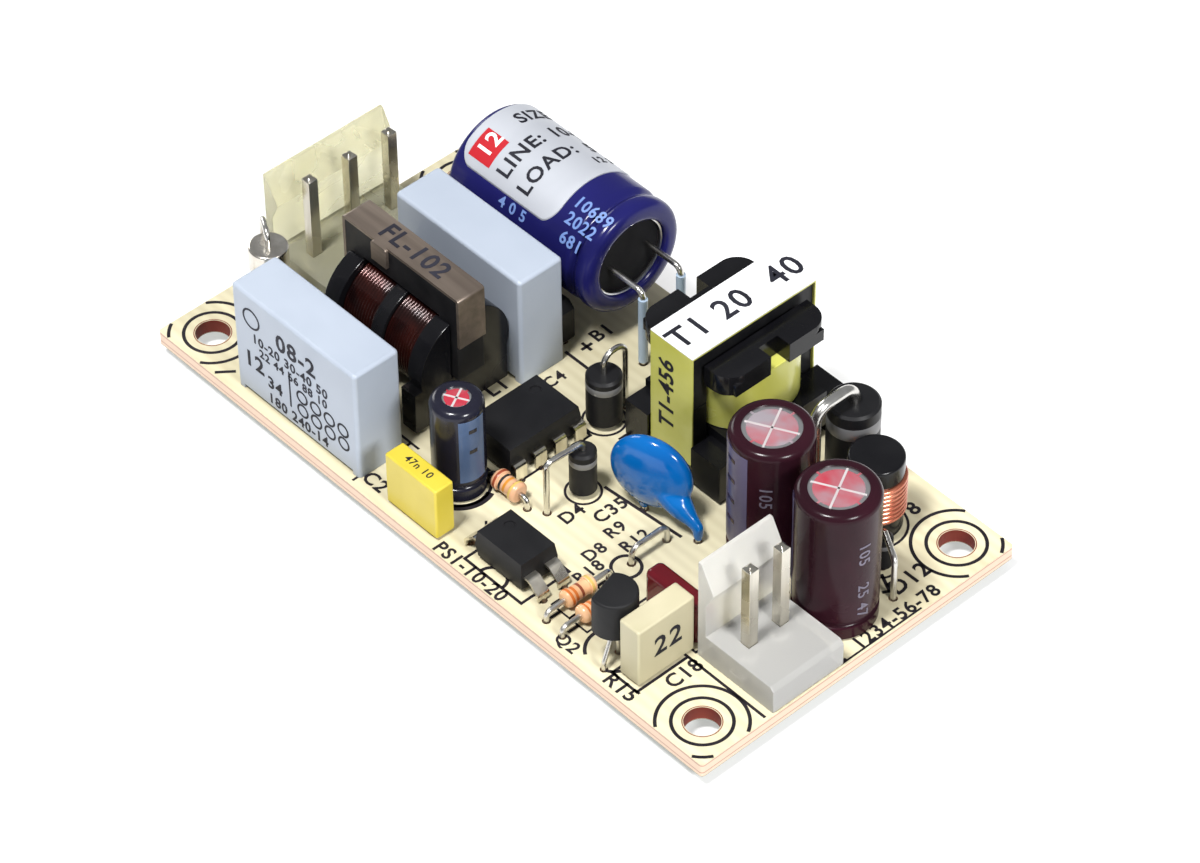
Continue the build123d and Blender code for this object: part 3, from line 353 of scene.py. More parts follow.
@dataclass(frozen=True)
class BoardFinish(Finish):
    """Cream laminate: paper fibre along X, brown sawn edges and a lacquered underside."""

    edge: Color = (0.66, 0.50, 0.38)
    seam: Color = (0.36, 0.17, 0.12)
    lacquer: Color = (0.10, 0.13, 0.06)
    fibre: Color = (0.34, 0.28, 0.16)

    def extra(self, tree: Tree, where: Socket, color: Socket) -> Socket:
        """Paint the core brown below the top face and the underside green.

        Args:
            tree: The material's tree.
            where: Object coordinates.
            color: The plain colour.

        Returns:
            The painted colour.
        """
        height = tree.add("SeparateXYZ", Vector=where).outputs[2]
        ribs = tree.add("TexWave", wave_type="BANDS", bands_direction="Y", Vector=where, Scale=260.0,
                        Distortion=1.2, Detail=3.0)
        color = tree.blend(tree.math("MULTIPLY", ribs.outputs[1], 0.20), color, self.fibre)
        color = tree.blend(tree.spread(height, 0.00150, 0.00158, 1.0, 0.0), color, self.edge)
        for level in (0.0014, 0.0005):
            away = tree.math("ABSOLUTE", tree.math("SUBTRACT", height, level))
            color = tree.blend(tree.spread(away, 0.00004, 0.00010, 0.75, 0.0), color, self.seam)
        return tree.blend(tree.spread(height, 0.00003, 0.00006, 1.0, 0.0), color, self.lacquer)


@dataclass(frozen=True)
class BandedFinish(Finish):
    """A body with printed bands across one axis."""

    axis: int = 2
    bands: tuple[tuple[float, float, Color], ...] = ()

    def extra(self, tree: Tree, where: Socket, color: Socket) -> Socket:
        """Paint the bands between their two places along the axis, in millimetres.

        Args:
            tree: The material's tree.
            where: Object coordinates.
            color: The plain colour.

        Returns:
            The banded colour.
        """
        place = tree.add("SeparateXYZ", Vector=where).outputs[self.axis]
        for low, high, paint in self.bands:
            above = tree.math("GREATER_THAN", place, low * MM)
            below = tree.math("LESS_THAN", place, high * MM)
            color = tree.blend(tree.math("MULTIPLY", above, below), color, paint)
        return color


class Finishes:
    """Every finish of the power supply, under a maker's plain names."""

    board = BoardFinish(
        "cream_laminate", (0.54, 0.49, 0.33), (0.62, 0.57, 0.40), 0.5, grain=1500, tone=260,
        stretch=(0.25, 1, 1), bump=0.12, specular=0.35,
    )
    ink = Finish("board_ink", (0.006, 0.005, 0.008), (0.018, 0.014, 0.018), 0.6, grain=2500, specular=0.2)
    # Dark red painted shade for the inside of the bolt holes and their rims.
    hole_shade = Finish("painted_hole_shade", (0.13, 0.018, 0.012), (0.20, 0.04, 0.025), 0.6, specular=0.2)
    solder = Finish(
        "tin_solder", (0.72, 0.72, 0.70), (0.60, 0.60, 0.60), 0.22, metallic=1, tone=400, smudge=0.2,
    )
    track = Finish("tinned_track", (0.16, 0.34, 0.13), (0.12, 0.28, 0.10), 0.35, coat=0.4)
    nylon = Finish(
        "natural_nylon", (0.92, 0.91, 0.87), (0.95, 0.94, 0.90), 0.30, bump=0.04, transmission=0.68,
        coat=0.1,
    )
    old_nylon = Finish(
        "yellowed_nylon", (0.86, 0.83, 0.57), (0.90, 0.88, 0.67), 0.26, bump=0.04, transmission=0.75,
        coat=0.1,
    )
    pin = Finish(
        "tinned_square_pin", (0.50, 0.47, 0.40), (0.72, 0.69, 0.61), 0.18, metallic=1, stretch=(1, 1, 0.08),
        tone=500, bump=0.15, smudge=0.22,
    )
    wire = Finish(
        "tinned_wire", (0.70, 0.69, 0.66), (0.58, 0.56, 0.52), 0.24, metallic=1, tone=500, smudge=0.2,
    )
    fuse_tube = Finish("fuse_tube", (0.78, 0.76, 0.70), (0.70, 0.67, 0.60), 0.3, coat=0.5)
    fuse_cap = Finish(
        "nickel_cap", (0.62, 0.58, 0.52), (0.75, 0.72, 0.66), 0.22, metallic=1, smudge=0.25, tone=500,
    )
    case = Finish(
        "blue_grey_case", (0.300, 0.338, 0.400), (0.335, 0.375, 0.440), 0.36, grain=1300, tone=60,
        bump=0.05, smudge=0.12, coat=0.05,
    )
    case_ink = Finish("case_print", (0.006, 0.006, 0.010), (0.02, 0.02, 0.03), 0.6, specular=0.2)
    aluminium = Finish(
        "drawn_aluminium", (0.76, 0.76, 0.76), (0.68, 0.68, 0.69), 0.28, metallic=1, tone=300,
    )
    vent = Finish(
        "lacquered_vent", (0.50, 0.035, 0.06), (0.34, 0.30, 0.33), 0.30, metallic=0.4, tone=170,
        smudge=0.25,
    )
    score = Finish("bare_score_line", (0.62, 0.56, 0.56), (0.74, 0.70, 0.70), 0.3, metallic=0.5)
    navy = Finish(
        "navy_sleeve", (0.007, 0.007, 0.062), (0.011, 0.011, 0.092), 0.2, coat=0.08, bump=0.03, grain=500,
        tone=70, specular=0.16,
    )
    navy_ink = Finish("pale_blue_print", (0.10, 0.18, 0.42), (0.16, 0.24, 0.48), 0.4)
    plum_ink = Finish("grey_violet_print", (0.085, 0.075, 0.11), (0.13, 0.115, 0.16), 0.4)
    rubber = Finish(
        "black_rubber", (0.004, 0.004, 0.005), (0.011, 0.011, 0.012), 0.6, bump=0.06, specular=0.05,
    )
    silver = Finish(
        "silver_paper", (0.37, 0.385, 0.42), (0.43, 0.445, 0.48), 0.42, metallic=0.15, grain=2200,
        stretch=(1, 0.15, 1), bump=0.04,
    )
    tube = Finish("blue_grey_tube", (0.30, 0.40, 0.52), (0.38, 0.48, 0.60), 0.35, coat=0.3)
    black_sleeve = Finish(
        "black_sleeve", (0.005, 0.005, 0.010), (0.011, 0.011, 0.020), 0.2, coat=0.1, bump=0.02,
        specular=0.25,
    )
    stripe_blue = Finish(
        "blue_grey_stripe", (0.035, 0.06, 0.12), (0.07, 0.11, 0.20), 0.3, coat=0.08, specular=0.2,
    )
    plum = Finish(
        "plum_sleeve", (0.015, 0.004, 0.007), (0.026, 0.006, 0.011), 0.2, coat=0.05, bump=0.02, grain=500,
        tone=80, specular=0.12,
    )
    stripe_violet = Finish(
        "violet_grey_stripe", (0.055, 0.048, 0.10), (0.085, 0.075, 0.14), 0.3, coat=0.08, specular=0.2,
    )
    epoxy = Finish(
        "black_epoxy", (0.005, 0.005, 0.006), (0.010, 0.010, 0.011), 0.46, grain=2600, bump=0.07,
        smudge=0.15, specular=0.2,
    )
    ferrite = Finish(
        "ferrite", (0.005, 0.005, 0.006), (0.013, 0.013, 0.014), 0.42, grain=1500, tone=300, bump=0.06,
        specular=0.2,
    )
    strip = Finish(
        "spring_strip", (0.17, 0.135, 0.11), (0.27, 0.22, 0.18), 0.34, metallic=0.75, stretch=(0.06, 1, 1),
        tone=500, bump=0.14, smudge=0.2,
    )
    bobbin = Finish(
        "black_bobbin", (0.003, 0.003, 0.004), (0.007, 0.007, 0.008), 0.22, coat=0.15, bump=0.05,
        smudge=0.2, specular=0.18,
    )
    copper = Finish(
        "enamelled_copper", (0.42, 0.10, 0.05), (0.66, 0.24, 0.14), 0.24, metallic=0.75, coat=0.6, tone=350,
    )
    dark_copper = Finish(
        "dark_enamelled_copper", (0.009, 0.002, 0.002), (0.050, 0.007, 0.004), 0.16, metallic=0.6,
        coat=0.25, tone=160,
    )
    tape = Finish(
        "yellow_tape", (0.46, 0.455, 0.09), (0.53, 0.53, 0.14), 0.24, coat=0.15, tone=140, bump=0.08,
        smudge=0.12,
    )
    white_paper = Finish("white_paper", (0.68, 0.68, 0.69), (0.74, 0.74, 0.74), 0.5, grain=2600, bump=0.08)
    yellow = Finish("yellow_case", (0.50, 0.395, 0.028), (0.56, 0.45, 0.045), 0.36, coat=0.1, smudge=0.12)
    beige = Finish("beige_case", (0.41, 0.375, 0.245), (0.46, 0.42, 0.285), 0.38, coat=0.08, smudge=0.12)
    red_dip = Finish(
        "dark_red_dip", (0.070, 0.003, 0.007), (0.11, 0.006, 0.011), 0.14, coat=0.3, bump=0.05,
        specular=0.2,
    )
    blue_dip = Finish(
        "blue_dip", (0.0004, 0.072, 0.27), (0.001, 0.10, 0.34), 0.14, coat=0.35, bump=0.04, tone=90,
        specular=0.2,
    )
    silver_band = Finish("silver_band", (0.12, 0.12, 0.125), (0.20, 0.20, 0.20), 0.4, metallic=0.3)
    red_patch = Finish("red_label_patch", (0.33, 0.008, 0.014), (0.38, 0.015, 0.022), 0.5, specular=0.15)
    brown_resin = BandedFinish(
        "brown_banded_resin", (0.52, 0.27, 0.15), (0.60, 0.34, 0.20), 0.28, coat=0.5, axis=0,
        bands=(
            (0.3, 0.6, (0.25, 0.05, 0.02)), (0.9, 1.2, (0.02, 0.02, 0.02)),
            (1.5, 1.8, (0.5, 0.2, 0.02)), (2.4, 2.7, (0.55, 0.38, 0.10)),
        ),
    )
    tan_resin = BandedFinish(
        "tan_banded_resin", (0.70, 0.38, 0.18), (0.78, 0.46, 0.26), 0.28, coat=0.5, axis=1,
        bands=(
            (-15.8, -15.5, (0.6, 0.15, 0.02)), (-15.2, -14.9, (0.6, 0.15, 0.02)),
            (-14.5, -14.2, (0.25, 0.05, 0.02)), (-13.3, -13.0, (0.55, 0.38, 0.10)),
        ),
    )
    floor = Finish(
        "pale_floor", (0.52, 0.52, 0.52), (0.53, 0.53, 0.53), 0.9, grain=60, tone=8, bump=0.01,
        specular=0.0, glow=0.85,
    )


# Mesh helpers


def smooth(bm: BMesh, angle: float) -> None:
    """Shade a mesh smooth and keep its sharp edges.

    Args:
        bm: The mesh.
        angle: Edges that turn by more than this many degrees stay sharp.
    """
    for face in bm.faces:
        face.smooth = True
    for edge in bm.edges:
        edge.smooth = len(edge.link_faces) != 2 or edge.calc_face_angle(0.0) < math.radians(angle)


def stand(name: str, data: bpy.types.ID) -> bpy.types.Object:
    """Put new data into the scene as an object.

    Args:
        name: The object's name.
        data: Its mesh, camera or light.

    Returns:
        The object.
    """
    made = bpy.data.objects.new(name, data)
    bpy.context.scene.collection.objects.link(made)
    return made


def publish(
    name: str, bm: BMesh, finish: Finish, slot: str, nodes: Sequence[str] = (), angle: float = 35.0,
    weighted: bool = False,
) -> bpy.types.Object:
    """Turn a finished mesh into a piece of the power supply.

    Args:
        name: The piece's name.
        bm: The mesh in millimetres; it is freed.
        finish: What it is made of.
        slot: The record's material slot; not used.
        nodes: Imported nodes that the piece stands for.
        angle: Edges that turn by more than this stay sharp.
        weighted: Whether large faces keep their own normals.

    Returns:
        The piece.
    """
    smooth(bm, angle)
    bmesh.ops.scale(bm, vec=(MM, MM, MM), verts=bm.verts)
    mesh = bpy.data.meshes.new(name)
    bm.to_mesh(mesh)
    bm.free()
    mesh.materials.append(finish.material())
    piece = stand(name, mesh)
    if weighted:
        keep = piece.modifiers.new("face_weight", "WEIGHTED_NORMAL")
        keep.keep_sharp = True
    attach(piece, "root")
    if nodes:
        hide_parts(*nodes)
    LOG.info("%s: %d faces, %s", name, len(mesh.polygons), finish.name)
    return piece


def packed(node: str) -> BMesh:
    """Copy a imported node, merged and cleaned to its true faces.

    Args:
        node: The node's name.

    Returns:
        The mesh in millimetres.
    """
    bm = bmesh.new()
    bm.from_mesh(FRAME["nodes"][node].data)
    bmesh.ops.scale(bm, vec=(1 / MM, 1 / MM, 1 / MM), verts=bm.verts)
    bmesh.ops.remove_doubles(bm, verts=bm.verts, dist=WELD)
    bmesh.ops.dissolve_limit(
        bm, angle_limit=math.radians(0.6), use_dissolve_boundaries=False, verts=bm.verts, edges=bm.edges
    )
    return bm


def ease(bm: BMesh, width: float, segments: int = 2, angle: float = 40.0) -> None:
    """Round every outer edge that turns by more than an angle.

    Args:
        bm: The mesh.
        width: Bevel width in millimetres.
        segments: Faces across the bevel.
        angle: The least turn in degrees.
    """
    sharp = [
        edge for edge in bm.edges
        if len(edge.link_faces) == 2 and edge.is_convex and edge.calc_face_angle(0.0) > math.radians(angle)
    ]
    bmesh.ops.bevel(
        bm, geom=sharp, offset=width, offset_type="OFFSET", segments=segments, profile=0.5, affect="EDGES",
        clamp_overlap=True, material=-1,
    )


def dress(node: str, finish: Finish, slot: str, width: float = 0.0, angle: float = 40.0) -> None:
    """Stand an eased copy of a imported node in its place.

    Args:
        node: The node's name.
        finish: Its finish.
        slot: Its material slot.
        width: Bevel width in millimetres, or 0 for none.
        angle: The least turn that is eased.
    """
    bm = packed(node)
    if width:
        ease(bm, width, angle=angle)
    publish(f"{node}_dressed", bm, finish, slot, (node,), weighted=True)


def spun(profile: Iterable[Point], centre: Point, axis: Point, steps: int = 48, turn: float = 360.0) -> BMesh:
    """Spin a line of points round an axis.

    Args:
        profile: Points of the line, in millimetres.
        centre: A point on the axis.
        axis: The axis.
        steps: Faces round the turn.
        turn: Degrees of the turn.

    Returns:
        The mesh, closed at its poles.
    """
    full = turn >= 360.0
    bm = bmesh.new()
    made = [bm.verts.new(point) for point in profile]
    edges = [bm.edges.new(pair) for pair in zip(made, made[1:])]
    bmesh.ops.spin(
        bm, geom=made + edges, cent=centre, axis=axis, angle=math.radians(turn), steps=steps, use_merge=full
    )
    bmesh.ops.remove_doubles(bm, verts=bm.verts, dist=WELD)
    if not full:
        bmesh.ops.holes_fill(bm, edges=[edge for edge in bm.edges if edge.is_boundary], sides=0)
    bmesh.ops.recalc_face_normals(bm, faces=bm.faces)
    return bm


def ring(profile: Iterable[Point], x: float, y: float, steps: int = 48) -> BMesh:
    """Spin a closed profile round an upright axis.

    Args:
        profile: Its corners, each a reach from the axis and a height.
        x: Place of the axis.
        y: Place of the axis.
        steps: Faces round the turn.

    Returns:
        The closed mesh.
    """
    line = [(x + reach, y, height) for reach, height in profile]
    return spun([*line, line[0]], (x, y, 0), UP, steps)


def wound(start: float, end: float, turns: int, radius: float, core: float) -> list[tuple[float, float]]:
    """Trace a winding, ring beside ring.

    Args:
        start: Where it begins along its axis.
        end: Where it ends.
        turns: How many rings lie side by side.
        radius: Reach of its outside from the axis.
        core: Reach of its inside.

    Returns:
        Its outline, each point a place along the axis and a reach from it.
    """
    pitch = (end - start) / turns
    line = [(start, core)]
    for k in range(turns):
        for step in range(6):
            turn = math.pi * (0.5 + step) / 6
            reach = radius - pitch / 2 + pitch / 2 * math.sin(turn)
            line.append((start + pitch * (k + 0.5 - math.cos(turn) / 2), reach))
    return [*line, (end, core)]


def merge(target: BMesh, source: BMesh) -> None:
    """Add one mesh to another.

    Args:
        target: The mesh that grows.
        source: The mesh that is added; it is freed.
    """
    holder = bpy.data.meshes.new("holder")
    source.to_mesh(holder)
    source.free()
    target.from_mesh(holder)
    bpy.data.meshes.remove(holder)


def shift(bm: BMesh, way: Point) -> None:
    """Move a whole mesh."""
    bmesh.ops.translate(bm, vec=way, verts=bm.verts)


def turned(degrees: float, axis: str) -> Matrix:
    """Give the turn round one of the main axes."""
    return Matrix.Rotation(math.radians(degrees), 4, axis)


def polar(degrees: float, reach: float = 1.0) -> Vector:
    """Give a level direction by degrees from +X."""
    return Vector((math.cos(math.radians(degrees)), math.sin(math.radians(degrees)), 0)) * reach


def lettering(text: str, height: float, heavy: float = 0.0, align: str = "CENTER") -> BMesh:
    """Cut plain generic characters as thin flat work, centred on its own origin.

    Args:
        text: The characters.
        height: Their height in millimetres.
        heavy: How much bolder than usual, as a share of the height.
        align: Where the origin lies along the text.

    Returns:
        The mesh, lying in XY.
    """
    curve = bpy.data.curves.new("letters", "FONT")
    curve.body = text
    curve.size = height * CAPITAL_RATIO
    curve.align_x = align
    curve.align_y = "CENTER"
    curve.extrude = INK / 2
    curve.space_character = SPACING
    curve.offset = heavy * height
    curve.resolution_u = 3
    holder = bpy.data.objects.new("letters", curve)
    mesh = bpy.data.meshes.new_from_object(holder)
    bm = bmesh.new()
    bm.from_mesh(mesh)
    bpy.data.objects.remove(holder)
    bpy.data.curves.remove(curve)
    bpy.data.meshes.remove(mesh)
    bmesh.ops.remove_doubles(bm, verts=bm.verts, dist=WELD / 2)
    return bm


def strip(points: Sequence[Point], width: float, closed: bool = False) -> BMesh:
    """Lay a thin flat line through points in XY, mitred at its corners.

    Args:
        points: The line's points.
        width: Its width.
        closed: Whether its ends meet.

    Returns:
        The mesh, one ink layer thick.
    """
    line = [Vector((point[0], point[1], 0.0)) for point in points]
    bm = bmesh.new()
    pairs = []
    last = len(line) - 1
    for index, here in enumerate(line):
        before = line[index - 1] if index or closed else here
        after = line[(index + 1) % len(line)] if index < last or closed else here
        along = ((here - before).normalized() + (after - here).normalized()).normalized()
        side = Vector((-along.y, along.x, 0.0))
        reach = (after - here).normalized() if index < last or closed else (here - before).normalized()
        half = width / 2 / max(0.4, abs(side.dot(Vector((-reach.y, reach.x, 0.0)))))
        pairs.append((bm.verts.new(here - side * half), bm.verts.new(here + side * half)))
    runs = list(zip(pairs, pairs[1:])) + ([(pairs[-1], pairs[0])] if closed else [])
    faces = [bm.faces.new((a[0], b[0], b[1], a[1])) for a, b in runs]
    made = bmesh.ops.extrude_face_region(bm, geom=faces)
    raised = [vert for vert in made["geom"] if isinstance(vert, bmesh.types.BMVert)]
    bmesh.ops.translate(bm, vec=(0, 0, INK), verts=raised)
    bmesh.ops.recalc_face_normals(bm, faces=bm.faces)
    return bm


def arc(centre: Point, radius: float, start: float, end: float, steps: int = 40) -> list[tuple[float, float]]:
    """Give points along an arc.

    Args:
        centre: Its centre.
        radius: Its radius.
        start: Where it starts, in degrees from +X.
        end: Where it ends.
        steps: How many straight pieces stand for it.

    Returns:
        The points.
    """
    return [
        (centre[0] + radius * math.cos(math.radians(start + (end - start) * k / steps)),
         centre[1] + radius * math.sin(math.radians(start + (end - start) * k / steps)))
        for k in range(steps + 1)
    ]


def wrapped(bm: BMesh, place: Bend, reach: float = 0.5) -> None:
    """Bend flat work round a curved face.

    Args:
        bm: The flat mesh, in XY with its thickness in Z.
        place: Gives the bent place of a point.
        reach: The longest edge left straight.
    """
    bmesh.ops.triangulate(bm, faces=bm.faces)
    for _ in range(3):
        long = [edge for edge in bm.edges if edge.calc_length() > reach]
        if not long:
            break
        bmesh.ops.subdivide_edges(bm, edges=long, cuts=1)
        bmesh.ops.triangulate(bm, faces=bm.faces)
    for vert in bm.verts:
        vert.co = place(*vert.co)


@dataclass
class Sheet:
    """Flat printing of one ink, gathered into a single piece."""

    name: str
    finish: Finish
    slot: str
    bm: BMesh = field(default_factory=bmesh.new)

    def stamp(self, work: BMesh, matrix: Matrix) -> None:
        """Lay flat work on a face."""
        bmesh.ops.transform(work, matrix=matrix, verts=work.verts)
        merge(self.bm, work)

    def text(self, text: str, height: float, face: Face, place: Point, heavy: float = BOLD) -> None:
        """Print characters on a face, centred on a place."""
        self.stamp(lettering(text, height, heavy), face.matrix(place))

    def line(self, points: Sequence[Point], width: float, closed: bool = False) -> None:
        """Print a line on the board."""
        self.stamp(strip(points, width, closed), Matrix.Translation((0, 0, BOARD_TOP)))

    def wrap(self, work: BMesh, place: Bend, reach: float = 0.5) -> None:
        """Bend flat work round a curved face and add it."""
        wrapped(work, place, reach)
        merge(self.bm, work)

    def publish(self) -> None:
        """Turn the printing into its piece."""
        publish(self.name, self.bm, self.finish, self.slot)


def label(name: str, slot: str, text: str, height: float, face: Face, place: Point, heavy: float) -> None:
    """Print one row of dark characters as a piece of its own.

    Args:
        name: The piece's name.
        slot: The material slot of what it is printed on.
        text: The characters.
        height: Their height.
        face: The face they lie on.
        place: The centre of the text.
        heavy: How bold they are.
    """
    sheet = Sheet(name, Finishes.case_ink, slot)
    sheet.text(text, height, face, place, heavy)
    sheet.publish()


# Sub-assemblies


@dataclass
class SubAssembly:
    """A group of parts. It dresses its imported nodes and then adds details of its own."""

    dressed: ClassVar[tuple[tuple, ...]] = ()
    wires: ClassVar[tuple[str, ...]] = ()

    def build(self) -> None:
        """Dress every node, rows as dress takes them and then the bare wires, and add the details."""
        for row in self.dressed:
            dress(*row)
        for node in self.wires:
            dress(node, Finishes.wire, "tinned_wire")
        self.details()

    def details(self) -> None:
        """Add what isn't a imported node; a plain group has nothing to add."""


@dataclass
class Board(SubAssembly):
    """The laminate, its printing, the solder and the tracks below."""

    length: float = 77.5
    width: float = 40.2
    hole_x: float = 34.86
    hole_y: float = 16.37
    hole_r: float = 1.75
    fillet: float = 0.7
    line_w: float = 0.34
    ring_radii: tuple = (2.86, 4.32)
    track_w: float = 1.0
    dressed = (("circuit_board", Finishes.board, "laminate"),)
    # Each line's width, and then the places that it runs through.
    lines: ClassVar = (
        (0.34, -30.4, -19.8, -29.1, -18.2), (0.2, 38.45, -2.4, 38.45, 8.1), (0.34, -9.3, 7.0, -6.1, 7.0),
        (0.34, -9.1, 9.0, -7.7, 9.0), (0.34, -8.4, 8.3, -8.4, 9.7), (0.25, -10.07, -12.24, -8.9, -12.24),
        (0.25, -10.07, -19.6, -10.07, -12.24, -27.5, -12.24), (0.34, 6.9, -2.7, 16.7, -1.9),
        (0.3, 28.2, -11.9, 38.4, -11.9), (0.3, 16.0, -17.9, 16.0, -16.6), (0.3, 16.0, -12.0, 16.0, -10.9),
        (0.3, 18.45, -17.9, 18.45, -16.6), (0.3, 18.45, -12.0, 18.45, -10.9), (0.34, 32.9, 8.4, 35.0, 7.4),
        (0.34, 34.6, 6.8, 35.2, 7.9), (0.25, 2.6, -13.9, 3.3, -14.5), (0.34, 1.6, 4.6, 3.2, 4.6, 3.2, 2.6),
    )
    # Each outline's width, and then two opposite corners.
    frames: ClassVar = (
        (0.3, 24.9, -18.3, 28.2, -11.9), (0.25, 20.2, -11.0, 28.3, -7.9), (0.3, 4.9, -18.6, 12.8, -12.6),
        (0.2, 14.8, -16.6, 17.2, -12.0), (0.2, 17.25, -16.6, 19.65, -12.0), (0.25, -6.9, -9.2, 0.9, 1.0),
    )
    # Each arc's width and centre, and then its radius, its two ends in degrees and its steps.
    arcs: ClassVar = (
        (0.35, 8.6, -18.55, 1.5, 0, 180, 24), (0.25, 27.8, 12.45, 3.25, 0, 360),
        (0.34, 16.0, -8.3, 1.45, 0, 360), (0.35, 22.95, -16.2, 2.75, -60, 240),
        (0.25, 22.3, 14.9, 3.0, 0, 360), (0.3, -2.75, -12.45, 3.0, 0, 360),
        (0.8, -2.75, -12.45, 3.15, -110, 25), (0.25, 5.95, -4.55, 1.75, 0, 360),
        (0.25, 0.25, 3.4, 2.15, 0, 360), (0.25, 32.3, 9.1, 1.35, 0, 360),
    )
    # Each designator's text, height and centre.
    designators: ClassVar = {
        Face.TOP_ALONG_X: (
            ("PS1-10-20", 1.5, 6.5, -19.35), ("C2", 1.6, -8.4, -18.2), ("R15", 1.6, 26.8, -19.0),
            ("Q2", 1.4, 19.4, -18.9),
        ),
        Face.TOP_ALONG_Y: (
            ("C18", 1.6, 29.5, -13.6), ("D4", 1.5, 7.5, -7.4), ("C35", 1.5, 9.6, -4.4),
            ("D8", 1.4, 12.6, -9.2), ("R18", 1.4, 14.1, -11.3), ("R9", 1.4, 11.8, -5.8),
            ("R12", 1.4, 14.1, -5.4), ("D12", 1.8, 35.1, 9.9), ("1234-56-78", 1.5, 37.7, 5.6),
            ("1 2", 1.5, 37.7, -2.9), ("L1", 1.7, -10.1, -1.2), ("C4", 1.4, -7.1, 3.6),
            ("B1", 1.6, -8.8, 11.4), ("8", 1.7, 28.9, 16.6), ("F1", 1.4, -29.2, -13.8),
        ),
    }

    def holes(self) -> list[tuple[float, float]]:
        """Give the centres of the four bolt holes."""
        return [(side_x * self.hole_x, side_y * self.hole_y) for side_x in (-1, 1) for side_y in (-1, 1)]

    def details(self) -> None:
        """Print and solder the board."""
        self.hole_edges()
        self.printing()
        self.soldering()

    def hole_edges(self) -> None:
        """Paint the inside of each bolt hole and its rim dark red: painted shade, standing in for the shade
        inside the hole.
        """
        bm = bmesh.new()
        profile = (
            (-0.02, 0.1), (-0.02, BOARD_TOP - 0.03), (0.09, BOARD_TOP + 0.012), (0.16, BOARD_TOP + 0.002),
            (0.12, BOARD_TOP - 0.06), (0.03, 0.1),
        )
        for x, y in self.holes():
            merge(bm, ring([(self.hole_r + reach, height) for reach, height in profile], x, y))
        # The dark red rings are painted shade inside the holes.
        publish("bolt_hole_edges", bm, Finishes.hole_shade, "laminate")

    def clipped_ring(self, centre: Point, radius: float) -> list[list[tuple[float, float]]]:
        """Split a printed ring where it would leave the board.

        Args:
            centre: The ring's centre.
            radius: Its radius.

        Returns:
            The arcs that stay on the board.
        """
        margin = 0.06
        runs: list[list[tuple[float, float]]] = [[]]
        for x, y in arc(centre, radius, 0, 360, 96):
            if abs(x) < self.length / 2 - margin and abs(y) < self.width / 2 - margin:
                runs[-1].append((x, y))
            elif runs[-1]:
                runs.append([])
        return [run for run in runs if len(run) > 3]

    def printing(self) -> None:
        """Print rings, outlines and plain reference designators on the component side."""
        ink = Sheet("board_printing", Finishes.ink, "laminate")
        for centre in self.holes():
            for radius in self.ring_radii:
                for run in self.clipped_ring(centre, radius):
                    ink.line(run, self.line_w)
        for width, *places in self.lines:
            ink.line(list(zip(places[::2], places[1::2])), width)
        for width, left, near, right, far in self.frames:
            ink.line([(left, near), (right, near), (right, far), (left, far)], width, closed=True)
        for width, x, y, *sweep in self.arcs:
            ink.line(arc((x, y), *sweep), width)
        for face, rows in self.designators.items():
            for text, height, x, y in rows:
                ink.text(text, height, face, (x, y, BOARD_TOP + INK / 2))
        ink.publish()

    def soldering(self) -> None:
        """Draw each joint up round its lead, on a tinned pad, and link pads with tracks."""
        joints, pads, tracks = bmesh.new(), bmesh.new(), bmesh.new()
        places = []
        for low, high in islands("solder_joints"):
            x, y = (low.x + high.x) / 2, (low.y + high.y) / 2
            radius = (high.x - low.x) / 2
            lead = radius - self.fillet
            places.append((x, y))
            cone = (
                (lead + 0.01, low.z), (lead + 0.12, low.z), (lead + 0.17, low.z * 0.7),
                (lead + 0.27, low.z * 0.42), (lead + 0.46, low.z * 0.16), (radius, -0.02),
                (lead + 0.01, -0.02),
            )
            inner, outer = radius - 0.1, radius + 0.35
            pad = ((inner, -0.05), (outer, -0.045), (outer + 0.03, -0.005), (inner, -0.005))
            merge(joints, ring(cone, x, y, 20))
            merge(pads, ring(pad, x, y, 20))
        publish("solder_joint_fillets", joints, Finishes.solder, "solder", ("solder_joints",))
        publish("solder_pads", pads, Finishes.solder, "solder")
        longest, straight = 16, 0.5
        for index, ((x, y), (far_x, far_y)) in enumerate(zip(places, places[3:])):
            if math.hypot(far_x - x, far_y - y) < longest:
                route = [(x, y), (far_x, y + (far_y - y) * 0.15), (far_x, far_y)]
                if abs(far_y - y) < straight or abs(far_x - x) < straight:
                    route = [route[0], route[2]]
                run = strip(route, self.track_w)
                # Crossing tracks lie at slightly different heights.
                shift(run, (0, 0, -INK - 0.002 * (index % 4)))
                merge(tracks, run)
        publish("lacquered_tracks", tracks, Finishes.track, "laminate")


def islands(node: str) -> list[tuple[Vector, Vector]]:
    """Find the boxes of a node's separate solids.

    Args:
        node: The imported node.

    Returns:
        The lowest and highest corner of each, in millimetres.
    """
    bm = packed(node)
    left = set(bm.verts)
    found = []
    while left:
        group = [left.pop()]
        low, high = group[0].co.copy(), group[0].co.copy()
        while group:
            vert = group.pop()
            low = Vector(map(min, low, vert.co))
            high = Vector(map(max, high, vert.co))
            for edge in vert.link_edges:
                other = edge.other_vert(vert)
                if other in left:
                    left.remove(other)
                    group.append(other)
        found.append((low, high))
    bm.free()
    return sorted(found, key=lambda pair: (pair[0].x, pair[0].y))


@dataclass
class Headers(SubAssembly):
    """Both pin headers: their housings and square pins."""

    dressed = (
        ("input_header_housing", Finishes.old_nylon, "natural_nylon", 0.12),
        ("output_header_housing", Finishes.nylon, "natural_nylon", 0.12),
        ("input_header_pins", Finishes.pin, "tinned_pin", 0.06),
        ("output_header_pins", Finishes.pin, "tinned_pin", 0.06),
    )


@dataclass
class Fuse(SubAssembly):
    """The standing fuse: its tube, cups and leads."""

    dressed = (
        ("fuse_body", Finishes.fuse_tube, "fuse_tube"),
        ("fuse_end_caps", Finishes.fuse_cap, "fuse_cap"),
    )
    wires = ("fuse_leads",)


